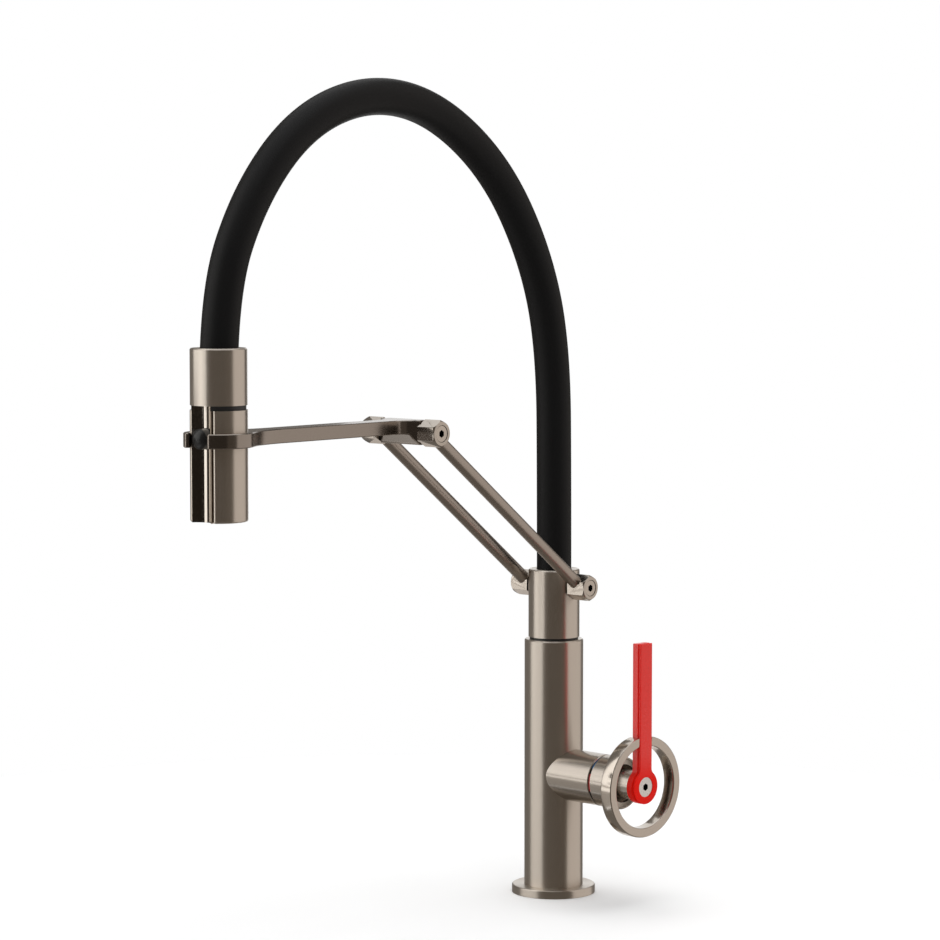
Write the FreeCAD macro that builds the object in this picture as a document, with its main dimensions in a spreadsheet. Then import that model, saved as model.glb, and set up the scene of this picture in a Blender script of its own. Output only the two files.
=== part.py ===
import FreeCAD, Part
import math
import os
import Sketcher

# A single-hole kitchen mixer tap with a jointed arm that carries a pull-off spray on a hose.
# The worktop is the plane z = 0 and the column stands on the z axis.
# The arm reaches towards -y, where the user stands, and the handle is on the +x side.

DOC = FreeCAD.newDocument("mixer_tap")

# Driving dimensions in millimetres and degrees.
# Words such as top, low and height are heights above the worktop.
SIZES = {
    # clearances
    "slip_clearance": 0.05,
    "running_clearance": 0.06,
    "free_clearance": 0.3,
    # base flange and gasket
    "flange_overhang": 7.7,
    "flange_thickness": 5.0,
    "flange_round": 0.8,
    "gasket_width": 3.5,
    "gasket_depth": 1.6,
    "gasket_land": 1.15,
    # body column and barrel
    "body_diameter": 36.6,
    "body_top": 159.5,
    "body_bevel": 0.7,
    "body_wall": 3.0,
    "barrel_diameter": 32.0,
    "barrel_height": 75.5,
    "barrel_reach": 26.5,
    "barrel_bevel": 0.5,
    "lever_turn": 5.0,
    # brass waterway block inside the column
    "block_headroom": 47.0,
    "port_diameter": 10.0,
    "port_depth": 14.0,
    "port_offset": 8.5,
    "stud_diameter": 6.0,
    "stud_depth": 16.0,
    "stud_offset": 10.5,
    "supply_diameter": 5.4,
    "inlet_diameter": 4.4,
    "inlet_offset": 7.0,
    "inlet_drop": 4.0,
    "outlet_diameter": 5.0,
    "outlet_rise": 6.5,
    "riser_diameter": 6.0,
    # ceramic cartridge: an inset is back from the barrel's open end, and a reach is out from it
    "cartridge_diameter": 27.0,
    "cartridge_sink": 6.3,
    "cartridge_gasket": 1.0,
    "pocket_clearance": 0.1,
    "cartridge_wall": 2.0,
    "cartridge_inset": 3.3,
    "disc_seat_inset": 15.8,
    "fixed_disc_thickness": 4.0,
    "moving_disc_diameter": 13.6,
    "moving_disc_thickness": 4.4,
    "moving_disc_drop": 2.0,
    "ball_diameter": 4.0,
    "ball_inset": 8.8,
    "finger_diameter": 3.0,
    "rotor_inset": 6.8,
    "rotor_shoulder": 5.5,
    "rotor_neck_diameter": 16.0,
    "rotor_neck_reach": 9.5,
    "tilt_reach": 7.2,
    "tilt_pin_diameter": 2.5,
    "tongue_width": 5.0,
    "tongue_height": 6.0,
    "tongue_inset": 2.8,
    "tongue_swing": 3.4,
    "tongue_droop": 0.9,
    "nut_lip": 2.2,
    "nut_reach": 7.2,
    "nut_spigot_diameter": 28.0,
    "nut_opening": 21.0,
    # index ring, cap and stem
    "index_gap": 1.5,
    "index_diameter": 30.0,
    "index_groove_depth": 0.5,
    "index_groove_width": 1.0,
    "cold_mark_start": 36.0,
    "hot_mark_start": -20.0,
    "mark_sweep": 42.0,
    "cap_diameter": 32.4,
    "cap_reach": 15.2,
    "cap_wall": 2.0,
    "cap_round": 1.5,
    "cap_opening": 23.6,
    "stem_diameter": 18.0,
    "stem_reach": 12.2,
    # lever, wheel and their screw
    "lever_reach": 27.6,
    "lever_thickness": 6.6,
    "lever_width": 10.5,
    "lever_height": 88.0,
    "lever_hub_diameter": 21.0,
    "lever_fillet": 4.0,
    "lever_round": 0.7,
    "lever_groove_width": 1.3,
    "lever_groove_depth": 0.8,
    "lever_lip": 1.0,
    "wheel_diameter": 62.0,
    "wheel_rim": 5.7,
    "wheel_depth": 8.5,
    "wheel_setback": 0.5,
    "wheel_bevel": 0.5,
    "lever_screw_diameter": 12.0,
    "lever_screw_shank": 6.0,
    "lever_screw_recess": 0.5,
    "lever_screw_head": 3.0,
    "lever_screw_length": 10.0,
    "socket_across": 4.0,
    "socket_depth": 2.2,
    # swivel column, with depths below the top of the body column
    "swivel_diameter": 31.8,
    "swivel_above": 10.1,
    "swivel_edge": 0.6,
    "slip_ring_height": 1.5,
    "slip_ring_inset": 0.8,
    "spigot_diameter": 26.0,
    "spigot_depth": 34.0,
    "spigot_bore": 14.0,
    "seal_section": 1.8,
    "seal_low_depth": 26.0,
    "seal_high_depth": 8.0,
    "set_screw_diameter": 5.0,
    "set_screw_depth": 17.0,
    "set_screw_groove": 1.6,
    "set_screw_socket": 2.5,
    # hose and its end ferrules
    "hose_diameter": 21.5,
    "hose_bore": 12.0,
    "hose_clearance": 0.25,
    "hose_seat_drop": 10.5,
    "ferrule_flange": 7.0,
    "ferrule_barb": 14.0,
    "ferrule_bore": 9.0,
    # jointed arm
    "pivot_rise": 33.6,
    "elbow_forward": 138.5,
    "elbow_rise": 102.5,
    "hex_across": 14.0,
    "knuckle_inner": 16.3,
    "knuckle_outer": 29.4,
    "knuckle_chamfer": 1.2,
    "rod_diameter": 8.0,
    "rod_offset": 21.0,
    "rod_inset": 4.9,
    "notch_diameter": 10.6,
    "notch_floor": 7.2,
    "shoulder_diameter": 6.0,
    "bush_wall": 0.9,
    "pivot_head_diameter": 9.5,
    "pivot_head_height": 3.0,
    "pivot_head_recess": 0.3,
    "pivot_thread": 5.0,
    "elbow_thread_length": 8.0,
    "washer_diameter": 11.0,
    "washer_thickness": 0.6,
    "swivel_flat_depth": 1.0,
    "arm_width": 14.0,
    "arm_thickness": 8.2,
    "arm_rise": 7.5,
    "arm_root": 8.6,
    "arm_edge": 0.7,
    "arm_fillet": 8.0,
    "clip_wall": 3.7,
    "clip_fillet": 7.0,
    "clip_gap_angle": 24.0,
    "reach": 292.0,
    # spray head, hung from the top of the arm
    "shell_drop": 49.7,
    "collar_diameter": 32.0,
    "collar_length": 31.6,
    "collar_edge": 0.7,
    "core_neck_diameter": 26.0,
    "core_insert": 2.4,
    "core_flange_diameter": 30.6,
    "core_bore": 7.0,
    "shell_diameter": 32.3,
    "shell_length": 62.2,
    "reveal": 2.7,
    "shell_wall": 2.0,
    "shell_round": 1.2,
    "shell_slot_angle": 32.0,
    "shell_slot_round": 1.7,
    "clip_clearance": 0.1,
    "trough_back": 8.6,
    "trough_depth": 9.7,
    "trough_radius": 8.4,
    "trough_diameter": 31.5,
    "trough_width": 14.6,
    "face_recess": 0.8,
    "face_thickness": 3.2,
    "nozzle_diameter": 1.6,
    "nozzle_circle": 14.6,
    "nozzle_count": 16,
    "aerator_diameter": 10.0,
    "aerator_length": 8.0,
    "aerator_lip": 1.2,
    # push button and diverter
    "button_diameter": 11.4,
    "button_drop": 15.7,
    "button_tip": 17.9,
    "button_dome": 2.6,
    "button_back": 9.4,
    "button_travel": 2.2,
    "button_stem": 4.0,
    "button_hole_gap": 0.3,
    "spool_diameter": 5.8,
    "spool_length": 4.0,
    "spool_place": -0.6,
    "spring_diameter": 7.0,
    "spring_wire": 0.7,
    "spring_seat": 4.6,
}

# Corners of the hose's route in the plane x = 0, as distance forward of the column axis and height
# above the lower pivot. The sizes give its first corner and its last two.
HOSE_CORNERS = (
    (0.0, 56.9),
    (1.2, 146.9),
    (18.2, 204.0),
    (55.9, 257.9),
    (112.0, 293.4),
    (169.0, 301.2),
    (224.7, 282.9),
    (266.6, 241.2),
)
HOSE_LAST_BEND = 186.6
HOSE_CORNER_SHARE = 0.45

X_AXIS = FreeCAD.Vector(1, 0, 0)
Y_AXIS = FreeCAD.Vector(0, 1, 0)
UP = FreeCAD.Vector(0, 0, 1)
FORWARD = FreeCAD.Vector(0, -1, 0)
RIGHT, LEFT = 1, -1
HEX_SIDES = 6
FULL_TURN = 360
QUARTER_TURN = 90
HALF_STEP = 0.5
OVERCUT = 1.0
TOLERANCE = 1e-3

PIECES = {}


class Size:
    """A dimension: the text that binds it to the sheet, and its present value."""

    def __init__(self, text, number):
        self.text = text
        self.value = number

    def joined(self, sign, other, number):
        return Size("(%s %s %s)" % (self.text, sign, as_size(other).text), number)

    def __add__(self, other):
        return self.joined("+", other, self.value + as_size(other).value)

    def __sub__(self, other):
        return self.joined("-", other, self.value - as_size(other).value)

    def __mul__(self, other):
        return self.joined("*", other, self.value * as_size(other).value)

    def __truediv__(self, other):
        return self.joined("/", other, self.value / as_size(other).value)

    def __neg__(self):
        return Size("(0 - %s)" % self.text, -self.value)


class Dimensions:
    """The cells of the sheet, read by their aliases."""

    def __init__(self, sheet):
        self.sheet = sheet

    def __getattr__(self, alias):
        return Size("sizes." + alias, float(self.sheet.get(alias)))


def as_size(item):
    return item if isinstance(item, Size) else Size(repr(item), float(item))


def number_of(item):
    return as_size(item).value


def root(size):
    return Size("sqrt(%s)" % size.text, math.sqrt(size.value))


def make_sheet():
    sheet = DOC.addObject("Spreadsheet::Sheet", "sizes")
    for row, (alias, number) in enumerate(SIZES.items(), start=1):
        sheet.set("A%d" % row, alias)
        sheet.set("B%d" % row, str(number))
        sheet.setAlias("B%d" % row, alias)
    DOC.recompute()
    return sheet


D = Dimensions(make_sheet())


# Places that follow from the sizes, outwards along the barrel or above the worktop
BARREL_END = D.body_diameter / 2 + D.barrel_reach
CARTRIDGE_SEAT = D.body_diameter / 2 - D.cartridge_sink
CARTRIDGE_FRONT = BARREL_END - D.cartridge_inset
DISC_SEAT = BARREL_END - D.disc_seat_inset
BALL_PLACE = BARREL_END - D.ball_inset
ROTOR_BACK = BARREL_END - D.rotor_inset
TONGUE_BACK = BARREL_END - D.tongue_inset
ROTOR_NECK_FRONT = BARREL_END + D.rotor_neck_reach
TILT_PIVOT = BARREL_END + D.tilt_reach
NUT_FRONT = BARREL_END + D.nut_reach
CAP_FRONT = BARREL_END + D.cap_reach
STEM_BACK = BARREL_END + D.stem_reach
LEVER_BACK = BARREL_END + D.lever_reach
LEVER_FRONT = LEVER_BACK + D.lever_thickness
BLOCK_TOP = D.body_top - D.block_headroom
SPIGOT_FOOT = D.body_top - D.spigot_depth
SEAL_LOW = D.body_top - D.seal_low_depth
SEAL_HIGH = D.body_top - D.seal_high_depth
SET_SCREW_HEIGHT = D.body_top - D.set_screw_depth
PIVOT_HEIGHT = D.body_top + D.pivot_rise
SWIVEL_TOP = PIVOT_HEIGHT + D.swivel_above
ELBOW_HEIGHT = PIVOT_HEIGHT + D.elbow_rise
ROOT_THREE = root(as_size(3))
HEX_CORNER = D.hex_across / ROOT_THREE
SHELL_LOW = ELBOW_HEIGHT + D.arm_rise - D.shell_drop
SHELL_TOP = SHELL_LOW + D.shell_length
COLLAR_LOW = SHELL_TOP + D.reveal
COLLAR_TOP = COLLAR_LOW + D.collar_length
CORE_TOP = COLLAR_LOW + D.core_insert
BUTTON_HEIGHT = SHELL_TOP - D.button_drop
HOSE_START = PIVOT_HEIGHT - D.hose_seat_drop
HOSE_END = CORE_TOP + D.ferrule_flange


def bind(item, prop, size):
    item.setExpression(prop, as_size(size).text)


def keep(label, item):
    """Name a finished piece. The label also names its file."""
    item.Label = label
    PIECES[label] = item
    return item


# Frames


def vector(x, y, z):
    return FreeCAD.Vector(number_of(x), number_of(y), number_of(z))


def frame(base, z_axis, x_axis):
    rotation = FreeCAD.Rotation(x_axis, z_axis.cross(x_axis), z_axis, "ZXY")
    return FreeCAD.Placement(base, rotation)


def upright(x=0, y=0, z=0):
    return FreeCAD.Placement(vector(x, y, z), FreeCAD.Rotation())


TURN = math.radians(number_of(D.lever_turn))
OUTWARD = FreeCAD.Vector(math.cos(TURN), -math.sin(TURN), 0)
USERWARD = OUTWARD.cross(UP)


def in_barrel(out=0, rise=0, side=0):
    """Frame on the barrel axis: z outwards, x up and y towards the user."""
    base = OUTWARD * number_of(out) + USERWARD * number_of(side)
    return frame(base + UP * (number_of(D.barrel_height) + number_of(rise)), OUTWARD, UP)


def in_block(out=0, side=0, z=0):
    """Upright frame that is turned with the handle."""
    base = OUTWARD * number_of(out) + USERWARD * number_of(side)
    return FreeCAD.Placement(base + UP * number_of(z), FreeCAD.Rotation(UP, -number_of(D.lever_turn)))


def across(hand, out, forward, height):
    """Frame on a pivot axis: z points away from the arm's middle plane."""
    base = vector(0, -as_size(forward), height) + X_AXIS * (hand * number_of(out))
    return frame(base, X_AXIS * hand, UP)


def in_spray(x=0, forward=0, z=0):
    return upright(x, -(D.reach + forward), z)


def facing_user(out, height):
    """Frame on the button axis: z towards the user, measured from the spray axis."""
    return frame(vector(0, -(D.reach + out), height), FORWARD, UP)


# Solids


def cylinder(name, diameter, length, placement):
    solid = DOC.addObject("Part::Cylinder", name)
    bind(solid, "Radius", as_size(diameter) / 2)
    bind(solid, "Height", length)
    solid.Placement = placement
    return solid


def cuboid(name, lengths, placement):
    solid = DOC.addObject("Part::Box", name)
    for prop, length in zip(("Length", "Width", "Height"), lengths):
        bind(solid, prop, length)
    solid.Placement = placement
    return solid


def ball(name, diameter, placement):
    solid = DOC.addObject("Part::Sphere", name)
    bind(solid, "Radius", as_size(diameter) / 2)
    solid.Placement = placement
    return solid


def hex_prism(name, hex_width, length, placement):
    solid = DOC.addObject("Part::Prism", name)
    solid.Polygon = HEX_SIDES
    bind(solid, "Circumradius", as_size(hex_width) / ROOT_THREE)
    bind(solid, "Height", length)
    solid.Placement = placement
    return solid


def fuse(name, solids):
    result = DOC.addObject("Part::MultiFuse", name)
    result.Shapes = solids
    return result


def common(name, solids):
    result = DOC.addObject("Part::MultiCommon", name)
    result.Shapes = solids
    return result


def cut(name, base, tools):
    result = DOC.addObject("Part::Cut", name)
    result.Base = base
    result.Tool = tools[0] if len(tools) == 1 else fuse(name + "_tools", tools)
    return result


def group(name, solids):
    result = DOC.addObject("Part::Compound", name)
    result.Links = solids
    return result


# Sketches and features


def sketch_on(body, name, role, lift=0):
    plane = [item for item in body.Origin.OriginFeatures if item.Role == role][0]
    sketch = body.newObject("Sketcher::SketchObject", name)
    sketch.AttachmentSupport = (plane, [""])
    sketch.MapMode = "FlatFace"
    bind(sketch, "AttachmentOffset.Base.z", lift)
    return sketch


def pin_point(sketch, line, end, x, y):
    """Tie one end of a line or arc to its coordinates."""
    for kind, size in (("DistanceX", as_size(x)), ("DistanceY", as_size(y))):
        index = sketch.addConstraint(Sketcher.Constraint(kind, -1, 1, line, end, size.value))
        sketch.setExpression("Constraints[%d]" % index, size.text)


def outline(sketch, corners):
    """Closed outline of straight lines through the corners."""
    count = len(corners)
    points = [vector(x, y, 0) for x, y in corners]
    for i in range(count):
        sketch.addGeometry(Part.LineSegment(points[i], points[(i + 1) % count]))
    for i in range(count):
        sketch.addConstraint(Sketcher.Constraint("Coincident", i, 2, (i + 1) % count, 1))
    for i, (x, y) in enumerate(corners):
        pin_point(sketch, i, 1, x, y)


def circle(sketch, diameter, x=0, y=0):
    radius = as_size(diameter) / 2
    index = sketch.addGeometry(Part.Circle(vector(x, y, 0), UP, radius.value))
    fixed = sketch.addConstraint(Sketcher.Constraint("Radius", index, radius.value))
    sketch.setExpression("Constraints[%d]" % fixed, radius.text)
    pin_point(sketch, index, 3, x, y)


def new_body(name, placement):
    body = DOC.addObject("PartDesign::Body", name)
    body.Placement = placement
    return body


def pad(body, sketch, length):
    feature = body.newObject("PartDesign::Pad", sketch.Name + "_pad")
    feature.Profile = sketch
    bind(feature, "Length", length)
    body.Tip = feature
    return feature


def pocket(body, sketch, length, downwards=True):
    feature = body.newObject("PartDesign::Pocket", sketch.Name + "_pocket")
    feature.Profile = sketch
    bind(feature, "Length", length)
    feature.Reversed = not downwards
    body.Tip = feature
    return feature


def turned(name, placement, profile, sweep=FULL_TURN):
    """A piece turned about its own z axis from a profile of (radius, height) corners."""
    body = new_body(name, placement)
    sketch = sketch_on(body, name + "_profile", "XZ_Plane")
    outline(sketch, profile)
    feature = body.newObject("PartDesign::Revolution", name + "_turned")
    feature.Profile = sketch
    feature.ReferenceAxis = (sketch, ["V_Axis"])
    bind(feature, "Angle", sweep)
    body.Tip = feature
    return body


def ring(name, placement, inner, outer, low, high):
    return turned(name, placement, [(inner, low), (outer, low), (outer, high), (inner, high)])


def soften(body, kind, radius, wanted):
    """Round or chamfer the edges of a body that the test picks out."""
    DOC.recompute()
    base = body.Tip
    names = ["Edge%d" % i for i, edge in enumerate(base.Shape.Edges, start=1) if wanted(edge)]
    if not names:
        raise RuntimeError("no edge to soften on " + body.Name)
    feature = body.newObject("PartDesign::" + kind, body.Name + "_soft%d" % len(body.Group))
    feature.Base = (base, names)
    bind(feature, "Radius" if kind == "Fillet" else "Size", radius)
    body.Tip = feature
    return feature


def near(a, b):
    return abs(a - number_of(b)) < TOLERANCE


def rim_at(radius, height):
    """Test for a circular edge about the z axis."""

    def wanted(edge):
        curve = edge.Curve
        if not isinstance(curve, Part.Circle):
            return False
        return near(curve.Radius, radius) and near(curve.Center.z, height)

    return wanted


# Base


def build_base():
    flange_radius = D.body_diameter / 2 + D.flange_overhang
    flange_bore = D.body_diameter / 2 + D.slip_clearance
    groove_inner = flange_bore + D.gasket_land
    groove_outer = groove_inner + D.gasket_width
    flange = turned("flange", upright(), [
        (flange_bore, 0),
        (groove_inner, 0),
        (groove_inner, D.gasket_depth),
        (groove_outer, D.gasket_depth),
        (groove_outer, 0),
        (flange_radius, 0),
        (flange_radius, D.flange_thickness),
        (flange_bore, D.flange_thickness),
    ])
    soften(flange, "Fillet", D.flange_round, rim_at(flange_radius, D.flange_thickness))
    keep("base_flange", flange)
    gasket_inner = groove_inner + D.slip_clearance
    gasket_outer = groove_outer - D.slip_clearance
    keep("base_gasket", ring("gasket", upright(), gasket_inner, gasket_outer, 0, D.gasket_depth))


def block_bore():
    return D.body_diameter - D.body_wall * 2


def cartridge_bore(name):
    """Tool for the cartridge's bore, through the barrel and one wall of the column."""
    diameter = D.cartridge_diameter + D.slip_clearance * 2
    return cylinder(name, diameter, BARREL_END, in_barrel(CARTRIDGE_SEAT / 2))


def build_body_column():
    radius = D.body_diameter / 2
    column = turned("column_bar", upright(), [
        (0, 0),
        (radius, 0),
        (radius, D.body_top - D.body_bevel),
        (radius - D.body_bevel, D.body_top),
        (0, D.body_top),
    ])
    tools = [
        cylinder("block_bore", block_bore(), BLOCK_TOP + OVERCUT, upright(z=-OVERCUT)),
        cylinder("spigot_bore", D.spigot_diameter + D.running_clearance * 2, D.body_top,
                 upright(z=BLOCK_TOP)),
        cartridge_bore("column_side_bore"),
        cylinder("set_screw_hole", D.set_screw_diameter + D.slip_clearance * 2, D.body_diameter,
                 frame(vector(0, 0, SET_SCREW_HEIGHT), Y_AXIS, UP)),
    ]
    keep("body_column", cut("column_bored", column, tools))


def build_barrel():
    """Side barrel for the cartridge, saddled to the column that it is brazed to."""
    radius = D.barrel_diameter / 2
    bar = turned("barrel_bar", in_barrel(), [
        (0, 0),
        (radius, 0),
        (radius, BARREL_END - D.barrel_bevel),
        (radius - D.barrel_bevel, BARREL_END),
        (0, BARREL_END),
    ])
    saddle = cylinder("barrel_saddle", D.body_diameter + D.slip_clearance * 2, D.body_top, upright())
    keep("handle_barrel", cut("barrel_bored", bar, [saddle, cartridge_bore("barrel_bore")]))


def build_waterway():
    """Brass block with the two supply ports, the stud holes and the ways to the cartridge."""
    block = cylinder("block_bar", block_bore() - D.slip_clearance * 2, BLOCK_TOP - D.slip_clearance,
                     in_block())
    inlet_height = D.barrel_height - D.inlet_drop
    outlet_height = D.barrel_height + D.outlet_rise
    tools = [
        cylinder("cartridge_pocket", D.cartridge_diameter + D.pocket_clearance * 2, BARREL_END,
                 in_barrel(CARTRIDGE_SEAT)),
        cylinder("outlet_way", D.outlet_diameter, CARTRIDGE_SEAT + D.outlet_diameter,
                 in_barrel(-D.outlet_diameter / 2, D.outlet_rise)),
        cylinder("riser", D.riser_diameter, BLOCK_TOP - outlet_height + OVERCUT, in_block(z=outlet_height)),
    ]
    for hand in (RIGHT, LEFT):
        side = D.port_offset * hand
        tools += [
            cylinder("port_%+d" % hand, D.port_diameter, D.port_depth + OVERCUT,
                     in_block(side=side, z=-OVERCUT)),
            cylinder("supply_%+d" % hand, D.supply_diameter, inlet_height, in_block(side=side)),
            cylinder("inlet_%+d" % hand, D.inlet_diameter, CARTRIDGE_SEAT + OVERCUT,
                     in_barrel(0, -D.inlet_drop, D.inlet_offset * hand)),
            cylinder("stud_%+d" % hand, D.stud_diameter, D.stud_depth + OVERCUT,
                     in_block(out=D.stud_offset * hand, z=-OVERCUT)),
        ]
    keep("waterway_block", cut("block_drilled", block, tools))


# Cartridge, rotor and moving disc


def water_holes(name, start, length):
    holes = [cylinder(name + "_out", D.inlet_diameter, length, in_barrel(start, D.outlet_rise))]
    for hand in (RIGHT, LEFT):
        place = in_barrel(start, -D.inlet_drop, D.inlet_offset * hand)
        holes.append(cylinder(name + "_in_%+d" % hand, D.inlet_diameter, length, place))
    return holes


def cavity_radius():
    return D.cartridge_diameter / 2 - D.cartridge_wall


def build_cartridge():
    outer = D.cartridge_diameter / 2
    back = CARTRIDGE_SEAT + D.cartridge_gasket
    gasket = cylinder("gasket_disc", D.cartridge_diameter, D.cartridge_gasket, in_barrel(CARTRIDGE_SEAT))
    gasket_holes = water_holes("gasket_hole", CARTRIDGE_SEAT, back)
    keep("cartridge_gasket", cut("gasket_holed", gasket, gasket_holes))
    housing = turned("housing_cup", in_barrel(), [
        (0, back),
        (outer, back),
        (outer, CARTRIDGE_FRONT),
        (cavity_radius(), CARTRIDGE_FRONT),
        (cavity_radius(), DISC_SEAT),
        (0, DISC_SEAT),
    ])
    housing_holes = water_holes("housing_hole", CARTRIDGE_SEAT, DISC_SEAT)
    keep("cartridge_housing", cut("housing_holed", housing, housing_holes))
    fixed = cylinder("fixed_blank", (cavity_radius() - D.slip_clearance) * 2, D.fixed_disc_thickness,
                     in_barrel(DISC_SEAT))
    fixed_holes = water_holes("fixed_hole", DISC_SEAT - OVERCUT, DISC_SEAT)
    keep("fixed_ceramic_disc", cut("fixed_holed", fixed, fixed_holes))
    slide_plane = DISC_SEAT + D.fixed_disc_thickness
    moving = cylinder("moving_blank", D.moving_disc_diameter, D.moving_disc_thickness,
                      in_barrel(slide_plane, -D.moving_disc_drop))
    socket_back = BALL_PLACE - D.ball_diameter / 2 - D.free_clearance
    socket = cylinder("ball_socket", D.ball_diameter + D.free_clearance * 2, BARREL_END,
                      in_barrel(socket_back))
    keep("moving_ceramic_disc", cut("moving_socketed", moving, [socket]))


def build_rotor():
    shoulder = cavity_radius() - D.running_clearance
    shoulder_front = ROTOR_BACK + D.rotor_shoulder
    neck = D.rotor_neck_diameter / 2
    blank = turned("rotor_blank", in_barrel(), [
        (0, ROTOR_BACK),
        (shoulder, ROTOR_BACK),
        (shoulder, shoulder_front),
        (neck, shoulder_front),
        (neck, ROTOR_NECK_FRONT),
        (0, ROTOR_NECK_FRONT),
    ])
    slot_low = D.tongue_height / 2 + D.tongue_droop
    slot_width = D.tongue_width + D.free_clearance * 2
    slot_height = slot_low + D.tongue_height / 2 + D.tongue_swing
    slot = cuboid("rotor_slot", (slot_height, slot_width, BARREL_END),
                  in_barrel(ROTOR_BACK - OVERCUT, -slot_low, -(slot_width / 2)))
    pin_frame = frame(in_barrel(TILT_PIVOT).Base - USERWARD * number_of(neck), USERWARD, UP)
    pin_hole = cylinder("rotor_pin_hole", D.tilt_pin_diameter, D.rotor_neck_diameter, pin_frame)
    keep("cartridge_rotor", cut("rotor_slotted", blank, [slot, pin_hole]))
    pin_start = in_barrel(TILT_PIVOT).Base - USERWARD * (number_of(neck) - OVERCUT)
    pin_length = D.rotor_neck_diameter - OVERCUT * 2
    keep("tilt_pin", cylinder("pin", D.tilt_pin_diameter - D.slip_clearance, pin_length,
                              frame(pin_start, USERWARD, UP)))


def build_cartridge_nut():
    thread = D.cartridge_diameter / 2
    spigot = D.nut_spigot_diameter / 2
    lip_back = ROTOR_BACK + D.rotor_shoulder + D.free_clearance
    lip_front = lip_back + D.nut_lip
    lip = D.rotor_neck_diameter / 2 + D.free_clearance
    opening = D.nut_opening / 2
    keep("cartridge_nut", turned("nut", in_barrel(), [
        (cavity_radius(), CARTRIDGE_FRONT),
        (thread, CARTRIDGE_FRONT),
        (thread, BARREL_END),
        (spigot, BARREL_END),
        (spigot, NUT_FRONT),
        (opening, NUT_FRONT),
        (opening, lip_front),
        (lip, lip_front),
        (lip, lip_back),
        (cavity_radius(), lip_back),
    ]))


def build_index_and_cap():
    seat = D.nut_spigot_diameter / 2 + D.slip_clearance
    back = BARREL_END
    front = BARREL_END + D.index_gap
    outer = D.index_diameter / 2
    floor = outer - D.index_groove_depth
    groove_back = back + (D.index_gap - D.index_groove_width) / 2
    groove_front = groove_back + D.index_groove_width
    keep("index_ring", turned("index", in_barrel(), [
        (seat, back),
        (outer, back),
        (outer, groove_back),
        (floor, groove_back),
        (floor, groove_front),
        (outer, groove_front),
        (outer, front),
        (seat, front),
    ]))
    for label, start in (("cold_mark", D.cold_mark_start), ("hot_mark", D.hot_mark_start)):
        place = in_barrel()
        turn = QUARTER_TURN - number_of(start + D.mark_sweep)
        place.Rotation = place.Rotation.multiply(FreeCAD.Rotation(UP, turn))
        corners = [(floor, groove_back), (outer, groove_back), (outer, groove_front), (floor, groove_front)]
        keep(label, turned(label + "_arc", place, corners, D.mark_sweep))
    cap_radius = D.cap_diameter / 2
    cap = turned("cap", in_barrel(), [
        (seat, front),
        (cap_radius - D.barrel_bevel, front),
        (cap_radius, front + D.barrel_bevel),
        (cap_radius, CAP_FRONT),
        (D.cap_opening / 2, CAP_FRONT),
        (D.cap_opening / 2, CAP_FRONT - D.cap_wall),
        (seat, CAP_FRONT - D.cap_wall),
    ])
    soften(cap, "Fillet", D.cap_round, rim_at(cap_radius, CAP_FRONT))
    keep("handle_cap", cap)


# Handle


def build_stem():
    radius = D.stem_diameter / 2
    sleeve = turned("stem_sleeve", in_barrel(), [
        (0, STEM_BACK),
        (radius, STEM_BACK),
        (radius, LEVER_BACK),
        (0, LEVER_BACK),
    ])
    tongue = cuboid("stem_tongue", (D.tongue_height, D.tongue_width, STEM_BACK - TONGUE_BACK + OVERCUT),
                    in_barrel(TONGUE_BACK, -(D.tongue_height / 2), -(D.tongue_width / 2)))
    finger = cylinder("stem_finger", D.finger_diameter, TONGUE_BACK - BALL_PLACE + OVERCUT,
                      in_barrel(BALL_PLACE))
    tip = ball("stem_ball", D.ball_diameter, in_barrel(BALL_PLACE))
    thread = cylinder("stem_thread", D.lever_screw_shank + D.slip_clearance * 2,
                      D.lever_screw_length + OVERCUT, in_barrel(LEVER_BACK - D.lever_screw_length))
    pin_start = in_barrel(TILT_PIVOT).Base - USERWARD * number_of(D.tongue_width)
    pin_hole = cylinder("tongue_pin_hole", D.tilt_pin_diameter + D.running_clearance * 2,
                        D.tongue_width * 2, frame(pin_start, USERWARD, UP))
    solid_stem = fuse("stem_parts", [sleeve, tongue, finger, tip])
    keep("handle_stem", cut("stem_drilled", solid_stem, [thread, pin_hole]))


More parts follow.
